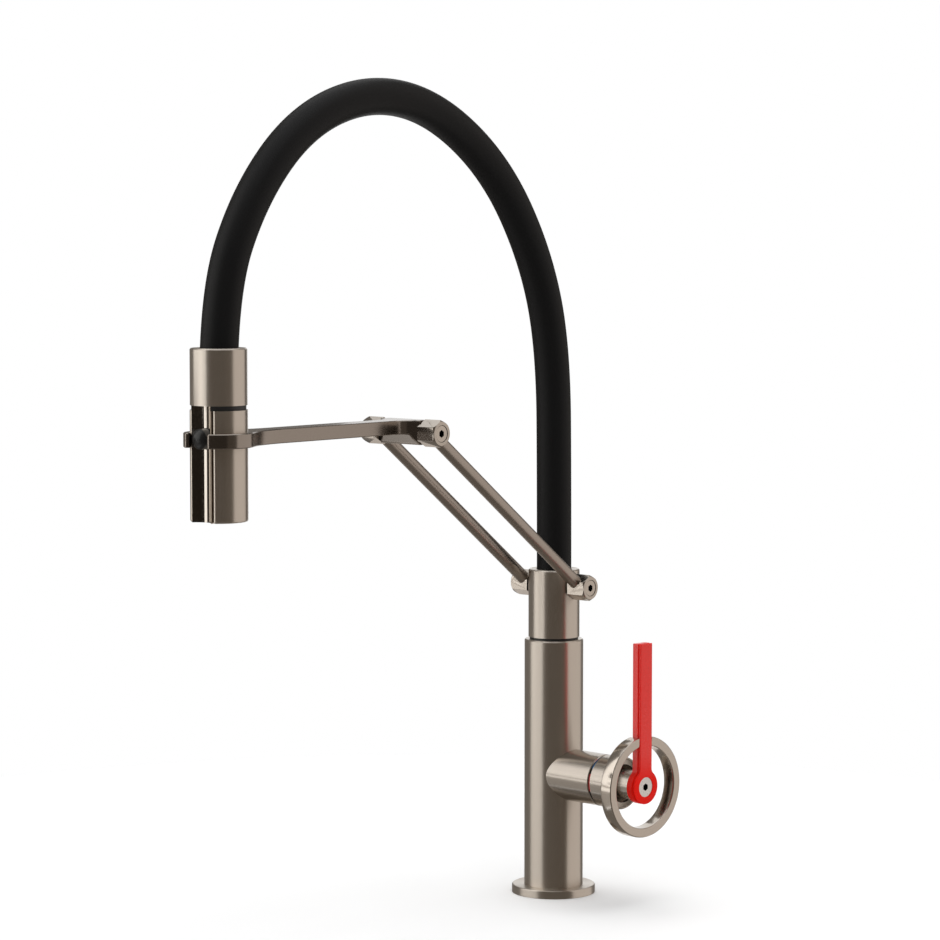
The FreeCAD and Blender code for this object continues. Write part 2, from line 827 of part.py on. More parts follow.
def lever_outline(sketch, inset):
    """Round hub run into a straight bar, drawn with x up."""
    hub = D.lever_hub_diameter / 2 - inset
    half = D.lever_width / 2 - inset
    blend = D.lever_fillet + inset
    top = D.lever_height - inset
    rise = root((hub + blend) * (hub + blend) - (half + blend) * (half + blend))
    share = hub / (hub + blend)
    meet = (rise * share, (half + blend) * share)
    lean = math.atan2(number_of(half + blend), number_of(rise))
    hub_circle = Part.Circle(vector(0, 0, 0), UP, hub.value)
    near_circle = Part.Circle(vector(rise, half + blend, 0), UP, blend.value)
    far_circle = Part.Circle(vector(rise, -(half + blend), 0), UP, blend.value)
    sketch.addGeometry(Part.LineSegment(vector(top, half, 0), vector(rise, half, 0)))
    sketch.addGeometry(Part.ArcOfCircle(near_circle, lean - math.pi, -math.pi / 2))
    sketch.addGeometry(Part.ArcOfCircle(hub_circle, lean, 2 * math.pi - lean))
    sketch.addGeometry(Part.ArcOfCircle(far_circle, math.pi / 2, math.pi - lean))
    sketch.addGeometry(Part.LineSegment(vector(rise, -half, 0), vector(top, -half, 0)))
    sketch.addGeometry(Part.LineSegment(vector(top, -half, 0), vector(top, half, 0)))
    for first, first_end, second, second_end in (
        (0, 2, 1, 2), (1, 1, 2, 1), (2, 2, 3, 2), (3, 1, 4, 1), (4, 2, 5, 1), (5, 2, 0, 1),
    ):
        sketch.addConstraint(Sketcher.Constraint("Coincident", first, first_end, second, second_end))
    pin_point(sketch, 0, 1, top, half)
    pin_point(sketch, 0, 2, rise, half)
    pin_point(sketch, 2, 1, meet[0], meet[1])
    pin_point(sketch, 2, 2, meet[0], -meet[1])
    pin_point(sketch, 4, 1, rise, -half)
    pin_point(sketch, 4, 2, top, -half)
    for arc, radius in ((1, blend), (2, hub), (3, blend)):
        index = sketch.addConstraint(Sketcher.Constraint("Radius", arc, radius.value))
        sketch.setExpression("Constraints[%d]" % index, radius.text)


def build_lever():
    body = new_body("lever", in_barrel())
    groove_front = LEVER_FRONT - D.lever_lip
    groove_back = groove_front - D.lever_groove_width
    for name, start, end, inset in (
        ("lever_rear", LEVER_BACK, groove_back, as_size(0)),
        ("lever_waist", groove_back, groove_front, D.lever_groove_depth),
        ("lever_face", groove_front, LEVER_FRONT, as_size(0)),
    ):
        sketch = sketch_on(body, name, "XY_Plane", start)
        lever_outline(sketch, inset)
        pad(body, sketch, end - start)

    def at_front(edge):
        box = edge.BoundBox
        return near(box.ZMin, LEVER_FRONT) and near(box.ZMax, LEVER_FRONT)

    soften(body, "Fillet", D.lever_round, at_front)
    seat = D.lever_screw_head + D.lever_screw_recess
    bore = cylinder("lever_bore", D.lever_screw_shank + D.slip_clearance * 2, D.lever_thickness * 2,
                    in_barrel(LEVER_BACK - OVERCUT))
    counterbore = cylinder("lever_counterbore", D.lever_screw_diameter + D.slip_clearance * 2,
                           seat + OVERCUT, in_barrel(LEVER_FRONT - seat))
    keep("lever_handle", cut("lever_drilled", body, [bore, counterbore]))


def build_lever_screw():
    head = D.lever_screw_diameter / 2
    shank = D.lever_screw_shank / 2
    head_front = LEVER_FRONT - D.lever_screw_recess
    head_back = head_front - D.lever_screw_head
    tip = LEVER_BACK - D.lever_screw_length + OVERCUT
    blank = turned("lever_screw_blank", in_barrel(), [
        (0, tip),
        (shank, tip),
        (shank, head_back),
        (head, head_back),
        (head, head_front),
        (0, head_front),
    ])
    socket = hex_prism("lever_screw_socket", D.socket_across, D.socket_depth + OVERCUT,
                       in_barrel(head_front - D.socket_depth))
    keep("lever_screw", cut("lever_screw_socketed", blank, [socket]))


def build_wheel():
    outer = D.wheel_diameter / 2
    inner = outer - D.wheel_rim
    front = LEVER_FRONT - D.wheel_setback
    back = front - D.wheel_depth
    bevel = D.wheel_bevel
    hoop = turned("wheel_hoop", in_barrel(), [
        (inner + bevel, back),
        (outer - bevel, back),
        (outer, back + bevel),
        (outer, front - bevel),
        (outer - bevel, front),
        (inner + bevel, front),
        (inner, front - bevel),
        (inner, back + bevel),
    ])
    gap = cuboid("wheel_gap", (D.wheel_diameter, D.lever_width, D.wheel_depth * 2),
                 in_barrel(back - D.wheel_depth / 2, 0, -(D.lever_width / 2)))
    keep("wheel_ring", cut("wheel_open", hoop, [gap]))


# Swivel column


def hose_hole():
    return D.hose_diameter / 2 + D.hose_clearance


def build_swivel_column():
    spigot = D.spigot_diameter / 2
    shoulder = D.body_top + D.slip_ring_height
    radius = D.swivel_diameter / 2
    ledge = HOSE_START - D.ferrule_flange
    grooves = (
        (SEAL_LOW, D.seal_section / 2 + D.free_clearance / 2, D.seal_section),
        (SET_SCREW_HEIGHT, D.set_screw_diameter / 2 + D.free_clearance, D.set_screw_groove),
        (SEAL_HIGH, D.seal_section / 2 + D.free_clearance / 2, D.seal_section),
    )
    profile = [(D.spigot_bore / 2, SPIGOT_FOOT), (spigot, SPIGOT_FOOT)]
    for height, half, depth in grooves:
        profile += [
            (spigot, height - half),
            (spigot - depth, height - half),
            (spigot - depth, height + half),
            (spigot, height + half),
        ]
    profile += [
        (spigot, shoulder),
        (radius, shoulder),
        (radius, SWIVEL_TOP - D.swivel_edge),
        (radius - D.swivel_edge, SWIVEL_TOP),
        (hose_hole(), SWIVEL_TOP),
        (hose_hole(), ledge),
        (D.spigot_bore / 2, ledge),
    ]
    blank = turned("swivel_blank", upright(), profile)
    tools = []
    for hand in (RIGHT, LEFT):
        tools += [
            cylinder("pivot_flat_%+d" % hand, D.washer_diameter + D.free_clearance * 2, D.swivel_diameter,
                     across(hand, swivel_flat(), 0, PIVOT_HEIGHT)),
            cylinder("pivot_thread_%+d" % hand, D.pivot_thread, D.swivel_diameter,
                     across(hand, 0, 0, PIVOT_HEIGHT)),
        ]
    keep("swivel_column", cut("swivel_drilled", blank, tools))
    keep("slip_ring", ring("slip_washer", upright(), spigot + D.slip_clearance, radius - D.slip_ring_inset,
                           D.body_top, shoulder))


def swivel_flat():
    return D.swivel_diameter / 2 - D.swivel_flat_depth


def build_swivel_fittings():
    seals = []
    for name, height in (("seal_ring_low", SEAL_LOW), ("seal_ring_high", SEAL_HIGH)):
        seal = DOC.addObject("Part::Torus", name)
        bind(seal, "Radius1", D.spigot_diameter / 2 - D.seal_section / 2)
        bind(seal, "Radius2", D.seal_section / 2)
        seal.Placement = upright(z=height)
        seals.append(seal)
    keep("spigot_seals", group("seal_pair", seals))
    tip = D.spigot_diameter / 2 - D.set_screw_groove + D.free_clearance
    length = D.body_diameter / 2 - D.free_clearance - tip
    screw_frame = frame(vector(0, tip, SET_SCREW_HEIGHT), Y_AXIS, UP)
    socket_frame = frame(vector(0, tip + length - D.set_screw_socket, SET_SCREW_HEIGHT), Y_AXIS, UP)
    blank = cylinder("set_screw_blank", D.set_screw_diameter, length, screw_frame)
    socket = hex_prism("set_screw_hex", D.set_screw_socket, D.set_screw_socket + OVERCUT, socket_frame)
    keep("swivel_set_screw", cut("set_screw_socketed", blank, [socket]))


# Hose


def hose_points():
    points = [vector(0, 0, HOSE_START)]
    for forward, height in HOSE_CORNERS:
        points.append(vector(0, -forward, PIVOT_HEIGHT + height))
    points.append(vector(0, -D.reach, PIVOT_HEIGHT + HOSE_LAST_BEND))
    points.append(vector(0, -D.reach, HOSE_END))
    return points


def hose_path():
    """Straight runs joined by tangent arcs, each as large as its two runs allow."""
    points = hose_points()
    edges = []
    radii = []
    last = points[0]
    for before, corner, after in zip(points, points[1:], points[2:]):
        back = (before - corner).normalize()
        ahead = (after - corner).normalize()
        half_turn = (math.pi - back.getAngle(ahead)) / 2
        trim = HOSE_CORNER_SHARE * min((before - corner).Length, (after - corner).Length)
        radius = trim / math.tan(half_turn)
        start = corner + back * trim
        end = corner + ahead * trim
        inward = (back + ahead).normalize()
        middle = corner + inward * (radius / math.cos(half_turn) - radius)
        edges.append(Part.LineSegment(last, start).toShape())
        edges.append(Part.Arc(start, middle, end).toShape())
        radii.append(radius)
        last = end
    edges.append(Part.LineSegment(last, points[-1]).toShape())
    return Part.Wire(edges), radii


def build_hose():
    path, radii = hose_path()
    start = hose_points()[0]
    tubes = []
    for diameter in (D.hose_diameter, D.hose_bore):
        section = Part.Wire([Part.Circle(start, UP, diameter.value / 2).toShape()])
        tubes.append(path.makePipeShell([section], True, False))
    hose = DOC.addObject("Part::Feature", "hose_tube")
    hose.Shape = tubes[0].cut(tubes[1])
    hose.Placement = upright()
    section_area = math.pi / 4 * (number_of(D.hose_diameter) ** 2 - number_of(D.hose_bore) ** 2)
    print("hose radii", [round(radius) for radius in radii])
    print("hose length %.1f" % path.Length)
    print("hose volume over section times length %.4f" % (hose.Shape.Volume / (section_area * path.Length)))
    keep("hose", hose)


def build_ferrules():
    """Barbed brass ends of the hose, one in the swivel column and one in the spray collar."""
    bore = D.ferrule_bore / 2
    barb = D.hose_bore / 2 - D.slip_clearance
    flange = D.hose_diameter / 2
    profile = [
        (bore, 0),
        (flange, 0),
        (flange, D.ferrule_flange),
        (barb, D.ferrule_flange),
        (barb, D.ferrule_flange + D.ferrule_barb),
        (bore, D.ferrule_flange + D.ferrule_barb),
    ]
    keep("hose_ferrule_lower", turned("ferrule_low", upright(z=HOSE_START - D.ferrule_flange), profile))
    keep("hose_ferrule_upper", turned("ferrule_high", in_spray(z=HOSE_END - D.ferrule_flange), profile))


# Jointed arm


def link_length():
    rise = ELBOW_HEIGHT - PIVOT_HEIGHT
    return root(D.elbow_forward * D.elbow_forward + rise * rise)


def link_direction():
    return vector(0, -D.elbow_forward, ELBOW_HEIGHT - PIVOT_HEIGHT).normalize()


def bush_radius():
    return D.shoulder_diameter / 2 + D.running_clearance + D.bush_wall


def head_seat():
    return D.knuckle_outer - D.pivot_head_recess - D.pivot_head_height


def knuckle(name, hand, forward, height, rod_direction):
    """Hexagonal end block with a pivot bore, a screw seat and a notched rod socket."""
    length = D.knuckle_outer - D.knuckle_inner
    blank = hex_prism(name + "_hex", D.hex_across, length, across(hand, D.knuckle_inner, forward, height))
    limit = turned(name + "_limit", across(hand, D.knuckle_inner, forward, height), [
        (0, 0),
        (HEX_CORNER + OVERCUT, 0),
        (HEX_CORNER + OVERCUT, length - D.knuckle_chamfer * 2),
        (D.hex_across / 2 - D.slip_clearance, length),
        (0, length),
    ])
    shaped = common(name + "_shaped", [blank, limit])
    axis = across(hand, D.rod_offset, forward, height).Base
    socket = frame(axis + rod_direction * number_of(D.rod_inset), rod_direction, X_AXIS)
    notch = frame(axis + rod_direction * number_of(D.notch_floor), rod_direction, X_AXIS)
    tools = [
        cylinder(name + "_bore", bush_radius() * 2, length * 2,
                 across(hand, D.knuckle_inner - OVERCUT, forward, height)),
        cylinder(name + "_seat", D.pivot_head_diameter + D.free_clearance * 2, length,
                 across(hand, head_seat(), forward, height)),
        cylinder(name + "_socket", D.rod_diameter + D.slip_clearance * 2, D.hex_across, socket),
        cylinder(name + "_notch", D.notch_diameter, D.hex_across, notch),
    ]
    return cut(name + "_drilled", shaped, tools)


def build_links():
    direction = link_direction()
    for side, hand in (("right", RIGHT), ("left", LEFT)):
        keep("lower_knuckle_" + side, knuckle("lower_knuckle" + side, hand, 0, PIVOT_HEIGHT, direction))
        elbow = knuckle("elbow_knuckle" + side, hand, D.elbow_forward, ELBOW_HEIGHT, direction * -1)
        keep("elbow_knuckle_" + side, elbow)
        start = across(hand, D.rod_offset, 0, PIVOT_HEIGHT).Base + direction * number_of(D.rod_inset)
        rod = cylinder("rod_" + side, D.rod_diameter, link_length() - D.rod_inset * 2,
                       frame(start, direction, X_AXIS))
        keep("link_rod_" + side, rod)


def pivot_screw(name, hand, forward, height, seat, tip):
    thread = D.pivot_thread / 2 - D.slip_clearance
    shoulder = D.shoulder_diameter / 2
    head = D.pivot_head_diameter / 2
    head_front = head_seat() + D.pivot_head_height
    blank = turned(name + "_blank", across(hand, 0, forward, height), [
        (0, tip),
        (thread, tip),
        (thread, seat),
        (shoulder, seat),
        (shoulder, head_seat()),
        (head, head_seat()),
        (head, head_front),
        (0, head_front),
    ])
    socket = hex_prism(name + "_hex", D.socket_across, D.socket_depth + OVERCUT,
                       across(hand, head_front - D.socket_depth, forward, height))
    return cut(name, blank, [socket])


def hub_half():
    return D.knuckle_inner - D.washer_thickness


def build_pivots():
    lower_tip = hose_hole() + D.free_clearance * 2
    for pivot, forward, height, seat, tip in (
        ("lower", as_size(0), PIVOT_HEIGHT, swivel_flat(), lower_tip),
        ("elbow", D.elbow_forward, ELBOW_HEIGHT, hub_half(), hub_half() - D.elbow_thread_length),
    ):
        screws = []
        bushes = []
        washers = []
        for hand in (RIGHT, LEFT):
            tag = "%s_%+d" % (pivot, hand)
            screws.append(pivot_screw("screw_" + tag, hand, forward, height, seat, tip))
            bore = D.shoulder_diameter / 2 + D.running_clearance
            bushes.append(ring("bush_" + tag, across(hand, 0, forward, height),
                               bore, bush_radius() - D.slip_clearance,
                               D.knuckle_inner, head_seat() - D.slip_clearance))
            washers.append(ring("washer_" + tag, across(hand, 0, forward, height),
                                bore, D.washer_diameter / 2,
                                seat, D.knuckle_inner - D.slip_clearance))
        keep(pivot + "_pivot_screws", group(pivot + "_screw_pair", screws))
        keep(pivot + "_pivot_bushes", group(pivot + "_bush_pair", bushes))
        keep(pivot + "_friction_washers", group(pivot + "_washer_pair", washers))


def clip_inner():
    return D.shell_diameter / 2 + D.clip_clearance


def build_upper_arm():
    """Flat bar from the hexagonal elbow hub to an open ring that clips round the spray."""
    body = new_body("arm", upright(0, -D.elbow_forward, ELBOW_HEIGHT))
    top = D.arm_rise
    low = top - D.arm_thickness
    half = D.arm_width / 2
    span = D.reach - D.elbow_forward
    outer = clip_inner() + D.clip_wall
    hub = sketch_on(body, "arm_hub", "YZ_Plane", -hub_half())
    outline(hub, [
        (-HEX_CORNER, 0),
        (-(HEX_CORNER / 2), -(D.hex_across / 2)),
        (HEX_CORNER / 2, -(D.hex_across / 2)),
        (HEX_CORNER, 0),
        (HEX_CORNER / 2, top),
        (-(HEX_CORNER / 2), top),
    ])
    pad(body, hub, hub_half() * 2)
    bar = sketch_on(body, "arm_bar", "XY_Plane", low)
    outline(bar, [(-half, 0), (-half, -span), (half, -span), (half, 0)])
    pad(body, bar, D.arm_thickness)
    root_block = sketch_on(body, "arm_root", "XY_Plane", low)
    outline(root_block, [
        (-hub_half(), 0),
        (-hub_half(), -D.arm_root),
        (hub_half(), -D.arm_root),
        (hub_half(), 0),
    ])
    pad(body, root_block, D.arm_thickness)
    eye = sketch_on(body, "arm_eye", "XY_Plane", low)
    circle(eye, outer * 2, 0, -span)
    pad(body, eye, D.arm_thickness)

    def upright_at(x, y):
        def wanted(edge):
            box = edge.BoundBox
            level = near(box.XMin, box.XMax) and near(box.YMin, box.YMax)
            return level and near(abs(box.XMin), x) and near(box.YMin, y)
        return wanted

    soften(body, "Fillet", D.arm_fillet, upright_at(half, -D.arm_root))
    soften(body, "Fillet", D.clip_fillet, upright_at(half, -span + root(outer * outer - half * half)))
    bore = sketch_on(body, "arm_bore", "XY_Plane", low)
    circle(bore, clip_inner() * 2, 0, -span)
    pocket(body, bore, D.arm_thickness, downwards=False)
    spread = math.radians(number_of(D.clip_gap_angle))
    run = outer * 2
    mouth = run * math.tan(spread)
    gap = sketch_on(body, "arm_gap", "XY_Plane", low)
    outline(gap, [(0, -span), (-mouth, -span - run), (mouth, -span - run)])
    pocket(body, gap, D.arm_thickness, downwards=False)

    def at_top(edge):
        box = edge.BoundBox
        flat = near(box.ZMin, top) and near(box.ZMax, top)
        inside = edge.CenterOfMass.distanceToPoint(vector(0, -span, top)) < number_of(clip_inner())
        return flat and box.YMin < -number_of(D.arm_root) - TOLERANCE and not inside

    soften(body, "Chamfer", D.arm_edge, at_top)
    threads = []
    thread_end = hub_half() - D.elbow_thread_length
    for hand in (RIGHT, LEFT):
        place = across(hand, thread_end, D.elbow_forward, ELBOW_HEIGHT)
        threads.append(cylinder("elbow_thread_%+d" % hand, D.pivot_thread, hub_half() * 2, place))
    keep("upper_arm", cut("arm_drilled", body, threads))


# Spray head


def core_radius():
    return D.shell_diameter / 2 - D.shell_wall - D.slip_clearance


def build_collar():
    radius = D.collar_diameter / 2
    keep("spray_collar", turned("collar", in_spray(), [
        (D.core_neck_diameter / 2 + D.slip_clearance, COLLAR_LOW),
        (radius, COLLAR_LOW),
        (radius, COLLAR_TOP - D.collar_edge),
        (radius - D.collar_edge, COLLAR_TOP),
        (hose_hole(), COLLAR_TOP),
        (hose_hole(), CORE_TOP),
        (D.core_neck_diameter / 2 + D.slip_clearance, CORE_TOP),
    ]))


def trough_slot(name, low, high):
    """Tool for the slot that the trough lies in."""
    width = D.trough_width + D.slip_clearance * 2
    depth = D.shell_diameter - D.trough_back + D.slip_clearance
    place = in_spray(-(width / 2), D.shell_diameter, low)
    return cuboid(name, (width, depth, high - low), place)


def button_hole():
    return D.button_diameter + D.button_hole_gap * 2


def build_core():
    neck = D.core_neck_diameter / 2
    flange = D.core_flange_diameter / 2
    low = SHELL_LOW + D.face_recess + D.face_thickness
    blank = turned("core_blank", in_spray(), [
        (0, low),
        (core_radius(), low),
        (core_radius(), SHELL_TOP),
        (flange, SHELL_TOP),
        (flange, COLLAR_LOW),
        (neck, COLLAR_LOW),
        (neck, CORE_TOP),
        (0, CORE_TOP),
    ])
    aerator_top = SHELL_LOW + D.face_recess + D.aerator_length
    spool_end = D.spool_place + D.spool_length
    well_floor = D.button_back - D.button_travel - D.free_clearance
    tools = [
        trough_slot("core_slot", low - OVERCUT, COLLAR_LOW),
        cylinder("core_way", D.core_bore, CORE_TOP, in_spray(z=low - OVERCUT)),
        cylinder("aerator_well", D.aerator_diameter + D.slip_clearance * 2, aerator_top - low + OVERCUT,
                 in_spray(z=low - OVERCUT)),
        cylinder("spool_bore", D.spool_diameter + D.running_clearance * 2, spool_end + D.shell_wall * 2,
                 facing_user(-(D.shell_wall * 2), BUTTON_HEIGHT)),
        cylinder("stem_bore", D.button_stem + D.free_clearance * 2, D.shell_diameter,
                 facing_user(0, BUTTON_HEIGHT)),
        cylinder("spring_bore", D.spring_diameter + D.free_clearance * 2, D.shell_diameter,
                 facing_user(D.spring_seat, BUTTON_HEIGHT)),
        cylinder("button_well", button_hole(), D.shell_diameter, facing_user(well_floor, BUTTON_HEIGHT)),
    ]
    keep("spray_core", cut("core_drilled", blank, tools))


def build_shell():
    radius = D.shell_diameter / 2
    place = in_spray()
    place.Rotation = FreeCAD.Rotation(UP, number_of(D.shell_slot_angle) - QUARTER_TURN)
    shell = turned("shell", place, [
        (radius - D.shell_wall, SHELL_LOW),
        (radius, SHELL_LOW),
        (radius, SHELL_TOP),
        (radius - D.shell_wall, SHELL_TOP),
    ], as_size(FULL_TURN) - D.shell_slot_angle * 2)

    def slot_lip(edge):
        box = edge.BoundBox
        level = near(box.XMin, box.XMax) and near(box.YMin, box.YMax)
        return level and near(math.hypot(box.XMin, box.YMin), radius)

    soften(shell, "Fillet", D.shell_slot_round, slot_lip)
    soften(shell, "Fillet", D.shell_round, rim_at(radius, SHELL_LOW))
    keep("spray_shell", shell)


def build_trough():
    """Polished concave insert that fills the slot of the shell and runs up to the collar."""
    length = COLLAR_LOW - SHELL_LOW
    bar = cylinder("trough_bar", D.trough_diameter, length, in_spray(z=SHELL_LOW))
    slab = cuboid("trough_slab", (D.trough_width, D.trough_diameter, length),
                  in_spray(-(D.trough_width / 2), D.trough_back + D.trough_diameter, SHELL_LOW))
    hollow = cylinder("trough_hollow", D.trough_radius * 2, length * 2,
                      in_spray(0, D.trough_depth + D.trough_radius, SHELL_LOW - OVERCUT))
    hole = cylinder("trough_hole", button_hole(), D.shell_diameter, facing_user(0, BUTTON_HEIGHT))
    blank = common("trough_blank", [bar, slab])
    keep("spray_trough", cut("trough_hollowed", blank, [hollow, hole]))


def build_face():
    low = SHELL_LOW + D.face_recess
    high = low + D.face_thickness
    blank = cylinder("face_blank", core_radius() * 2, D.face_thickness, in_spray(z=low))
    tools = [
        trough_slot("face_slot", low - OVERCUT, high + OVERCUT),
        cylinder("face_hole", D.aerator_diameter + D.slip_clearance * 2, D.face_thickness * 2,
                 in_spray(z=low - OVERCUT)),
    ]
    count = int(number_of(D.nozzle_count))
    for i in range(count):
        angle = 2 * math.pi * (i + HALF_STEP) / count
        circle_radius = D.nozzle_circle / 2
        place = in_spray(circle_radius * math.cos(angle), circle_radius * math.sin(angle), low - OVERCUT)
        tools.append(cylinder("nozzle_%d" % i, D.nozzle_diameter, D.face_thickness * 2, place))
    keep("spray_face", cut("face_drilled", blank, tools))
    radius = D.aerator_diameter / 2
    keep("aerator", turned("aerator_cup", in_spray(), [
        (0, low + D.aerator_lip),
        (radius - D.aerator_lip, low + D.aerator_lip),
        (radius - D.aerator_lip, low),
        (radius, low),
        (radius, low + D.aerator_length),
        (0, low + D.aerator_length),
    ]))


def build_button():
    half = D.button_diameter / 2
    dome_radius = (half * half + D.button_dome * D.button_dome) / (D.button_dome * 2)
    skirt = cylinder("button_skirt", D.button_diameter, D.button_tip - D.button_back,
                     facing_user(D.button_back, BUTTON_HEIGHT))
    dome = ball("button_dome", dome_radius * 2, facing_user(D.button_tip - dome_radius, BUTTON_HEIGHT))
    spool_end = D.spool_place + D.spool_length
    stem = cylinder("button_rod", D.button_stem, D.button_back - spool_end + OVERCUT,
                    facing_user(spool_end, BUTTON_HEIGHT))
    keep("push_button", fuse("button_parts", [common("button_cap", [skirt, dome]), stem]))
    spool = cylinder("spool", D.spool_diameter, D.spool_length, facing_user(D.spool_place, BUTTON_HEIGHT))
    keep("diverter_spool", spool)
    outer = D.spring_diameter / 2
    keep("button_spring", ring("spring_sleeve", facing_user(0, BUTTON_HEIGHT), outer - D.spring_wire, outer,
                               D.spring_seat, D.button_back))


BUILDERS = (
    build_base,
    build_body_column,
    build_barrel,
    build_waterway,
    build_cartridge,
    build_rotor,
    build_cartridge_nut,
    build_index_and_cap,
    build_stem,
    build_lever,
    build_lever_screw,
    build_wheel,
    build_swivel_column,
    build_swivel_fittings,
    build_hose,
    build_ferrules,
    build_links,
    build_pivots,
    build_upper_arm,
    build_collar,
    build_core,
    build_shell,
    build_trough,
    build_face,
    build_button,
)


def check_document():
    for item in DOC.Objects:
        if "Invalid" in item.State or "Error" in item.State:
            raise RuntimeError("%s did not build: %s" % (item.Name, item.State))
    for label, item in PIECES.items():
        if item.Shape.isNull() or not item.Shape.isValid() or not item.Shape.Solids:
            raise RuntimeError("%s has no valid solid" % label)


def write_pieces():
    os.makedirs("parts", exist_ok=True)
    for label, item in PIECES.items():
        item.Shape.exportStep("parts/%s.step" % label)


for build in BUILDERS:
    build()
DOC.recompute()
check_document()
write_pieces()
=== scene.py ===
import math

import bmesh
import bpy
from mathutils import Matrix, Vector


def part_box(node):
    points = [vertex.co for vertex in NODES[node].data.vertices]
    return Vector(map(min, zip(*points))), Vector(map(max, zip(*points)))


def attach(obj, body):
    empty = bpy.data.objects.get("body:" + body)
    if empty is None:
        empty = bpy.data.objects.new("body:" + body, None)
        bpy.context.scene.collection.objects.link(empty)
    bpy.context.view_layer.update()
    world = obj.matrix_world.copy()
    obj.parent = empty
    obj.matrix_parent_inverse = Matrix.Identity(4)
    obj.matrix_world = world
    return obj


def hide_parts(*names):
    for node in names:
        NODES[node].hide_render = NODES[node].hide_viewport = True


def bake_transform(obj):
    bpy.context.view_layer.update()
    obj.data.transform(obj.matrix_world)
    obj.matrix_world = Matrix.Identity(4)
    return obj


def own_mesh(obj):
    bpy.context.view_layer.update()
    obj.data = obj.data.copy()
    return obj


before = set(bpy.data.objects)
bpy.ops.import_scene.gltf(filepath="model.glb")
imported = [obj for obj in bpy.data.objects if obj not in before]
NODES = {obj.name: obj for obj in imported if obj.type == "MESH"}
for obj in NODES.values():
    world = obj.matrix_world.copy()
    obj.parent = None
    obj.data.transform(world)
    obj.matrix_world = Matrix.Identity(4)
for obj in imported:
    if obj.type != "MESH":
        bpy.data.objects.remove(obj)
SCENE = bpy.context.scene
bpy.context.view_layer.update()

MM = 0.001

# The camera, fitted to the picture of the tap: place in metres, angles in degrees, lens in
# millimetres.
CAMERA_PLACE = (1.31669, -1.59448, 0.42709)
CAMERA_AZIMUTH = 41.0
CAMERA_PITCH = 4.49
CAMERA_LENS = 127.82
SENSOR_WIDTH = 36.0

# Light from all round, from overhead and from a softbox: strengths, angles in degrees, and
# distances and sizes in metres.
STUDIO_CENTRE = (0.0, -0.12, 0.25)
SURROUND = 0.5
OVERHEAD, OVERHEAD_ANGLE, OVERHEAD_DISTANCE = 1.85, 60.0, 2.0
SOFTBOX, SOFTBOX_DISTANCE = 5.0, 1.8
SOFTBOX_AZIMUTH, SOFTBOX_ELEVATION = 60.0, 25.0
SOFTBOX_WIDTH, SOFTBOX_HEIGHT = 1.2, 1.6

# The floor, in metres, a hair below the tap's underside.
FLOOR_PLACE = (0.0, -0.1, -0.0002)
FLOOR_RADIUS, FLOOR_SIDES = 0.6, 96
FLOOR_COLOUR = (0.95, 0.95, 0.95)
FLOOR_ROUGHNESS, FLOOR_GLOSS = 0.8, 0.1

# Upright panels that glow with their colour and show only in reflections, so they paint the bright
# and dark bands that the metal mirrors: name, distance, first and last azimuth in degrees, lower
# and upper edge, colour. One more lies below.
PANEL_RADIUS, STRIP_RADIUS, NEAR_RADIUS = 1.5, 1.48, 0.35
PANEL_LOW, PANEL_HIGH = -1.4, 2.4
SKIRT_LOW, KEY_LOW = -1.0, -0.15
DIM, DARK = (0.20, 0.185, 0.17), (0.09, 0.075, 0.065)
PANELS = (
    ("panel_strip", STRIP_RADIUS, -20, 66, 0.08, 0.26, (0.018, 0.0145, 0.0115)),
    ("panel_shade", STRIP_RADIUS, 294, 342, 0.02, 0.11, (0.5, 0.46, 0.42)),
    ("panel_front", PANEL_RADIUS, -6, 99, PANEL_LOW, PANEL_HIGH, (0.122, 0.103, 0.086)),
    ("panel_right", PANEL_RADIUS, 99, 172, PANEL_LOW, PANEL_HIGH, (0.70, 0.64, 0.595)),
    ("panel_side", PANEL_RADIUS, 172, 205, PANEL_LOW, PANEL_HIGH, DIM),
    ("panel_left", PANEL_RADIUS, 225, 250, PANEL_LOW, 1.5, DIM),
    ("panel_corner", PANEL_RADIUS, 250, 294, PANEL_LOW, PANEL_HIGH, DIM),
    ("panel_low", STRIP_RADIUS, 215, 262, -1.0, -0.6, (0.75, 0.70, 0.66)),
    # panel_dark and panel_near are dark sheets that paint darker patches into nearby reflections
    # only.
    ("panel_dark", STRIP_RADIUS, 317, 329, 0.24, 0.29, DARK),
    ("panel_near", NEAR_RADIUS, 315, 335, 0.22, 0.31, DARK),
    ("panel_key", PANEL_RADIUS, 294, 354, KEY_LOW, PANEL_HIGH, (1.54, 1.505, 1.46)),
    ("panel_skirt", PANEL_RADIUS, 294, 354, SKIRT_LOW, KEY_LOW, (0.48, 0.45, 0.42)),
)
BELOW_RADIUS, BELOW_HEIGHT, BELOW_STEP = 0.9, -0.7, 5
BELOW_COLOUR = (0.20, 0.18, 0.16)

# Hose centreline as distance forward of the column and height, in millimetres.
HOSE_ROUTE = (
    (0.0, 182.6),
    (0.0, 250.0),
    (1.2, 340.0),
    (18.2, 397.1),
    (55.9, 451.0),
    (112.0, 486.5),
    (169.0, 494.3),
    (224.7, 476.0),
    (266.6, 434.3),
    (292.0, 379.7),
    (292.0, 327.7),
)
HOSE_DIAMETER = 21.5
HOSE_ORDER = 3
HOSE_STEPS = 24
HOSE_SIDES = 64

# Where one length of the hose hands over to the next, as shares of its whole length, and a small
# allowance, in millimetres, when finding that point.
HOSE_SPLITS = (0.0, 0.38, 0.70, 1.0)
HOSE_SLACK = 0.001

# The coil behind the spray's button, in millimetres and counts.
SPRING_WIRE = 0.65
SPRING_TURNS = 3
SPRING_STEPS = 28
SPRING_SIDES = 10
SPRING_PLAY = 0.03

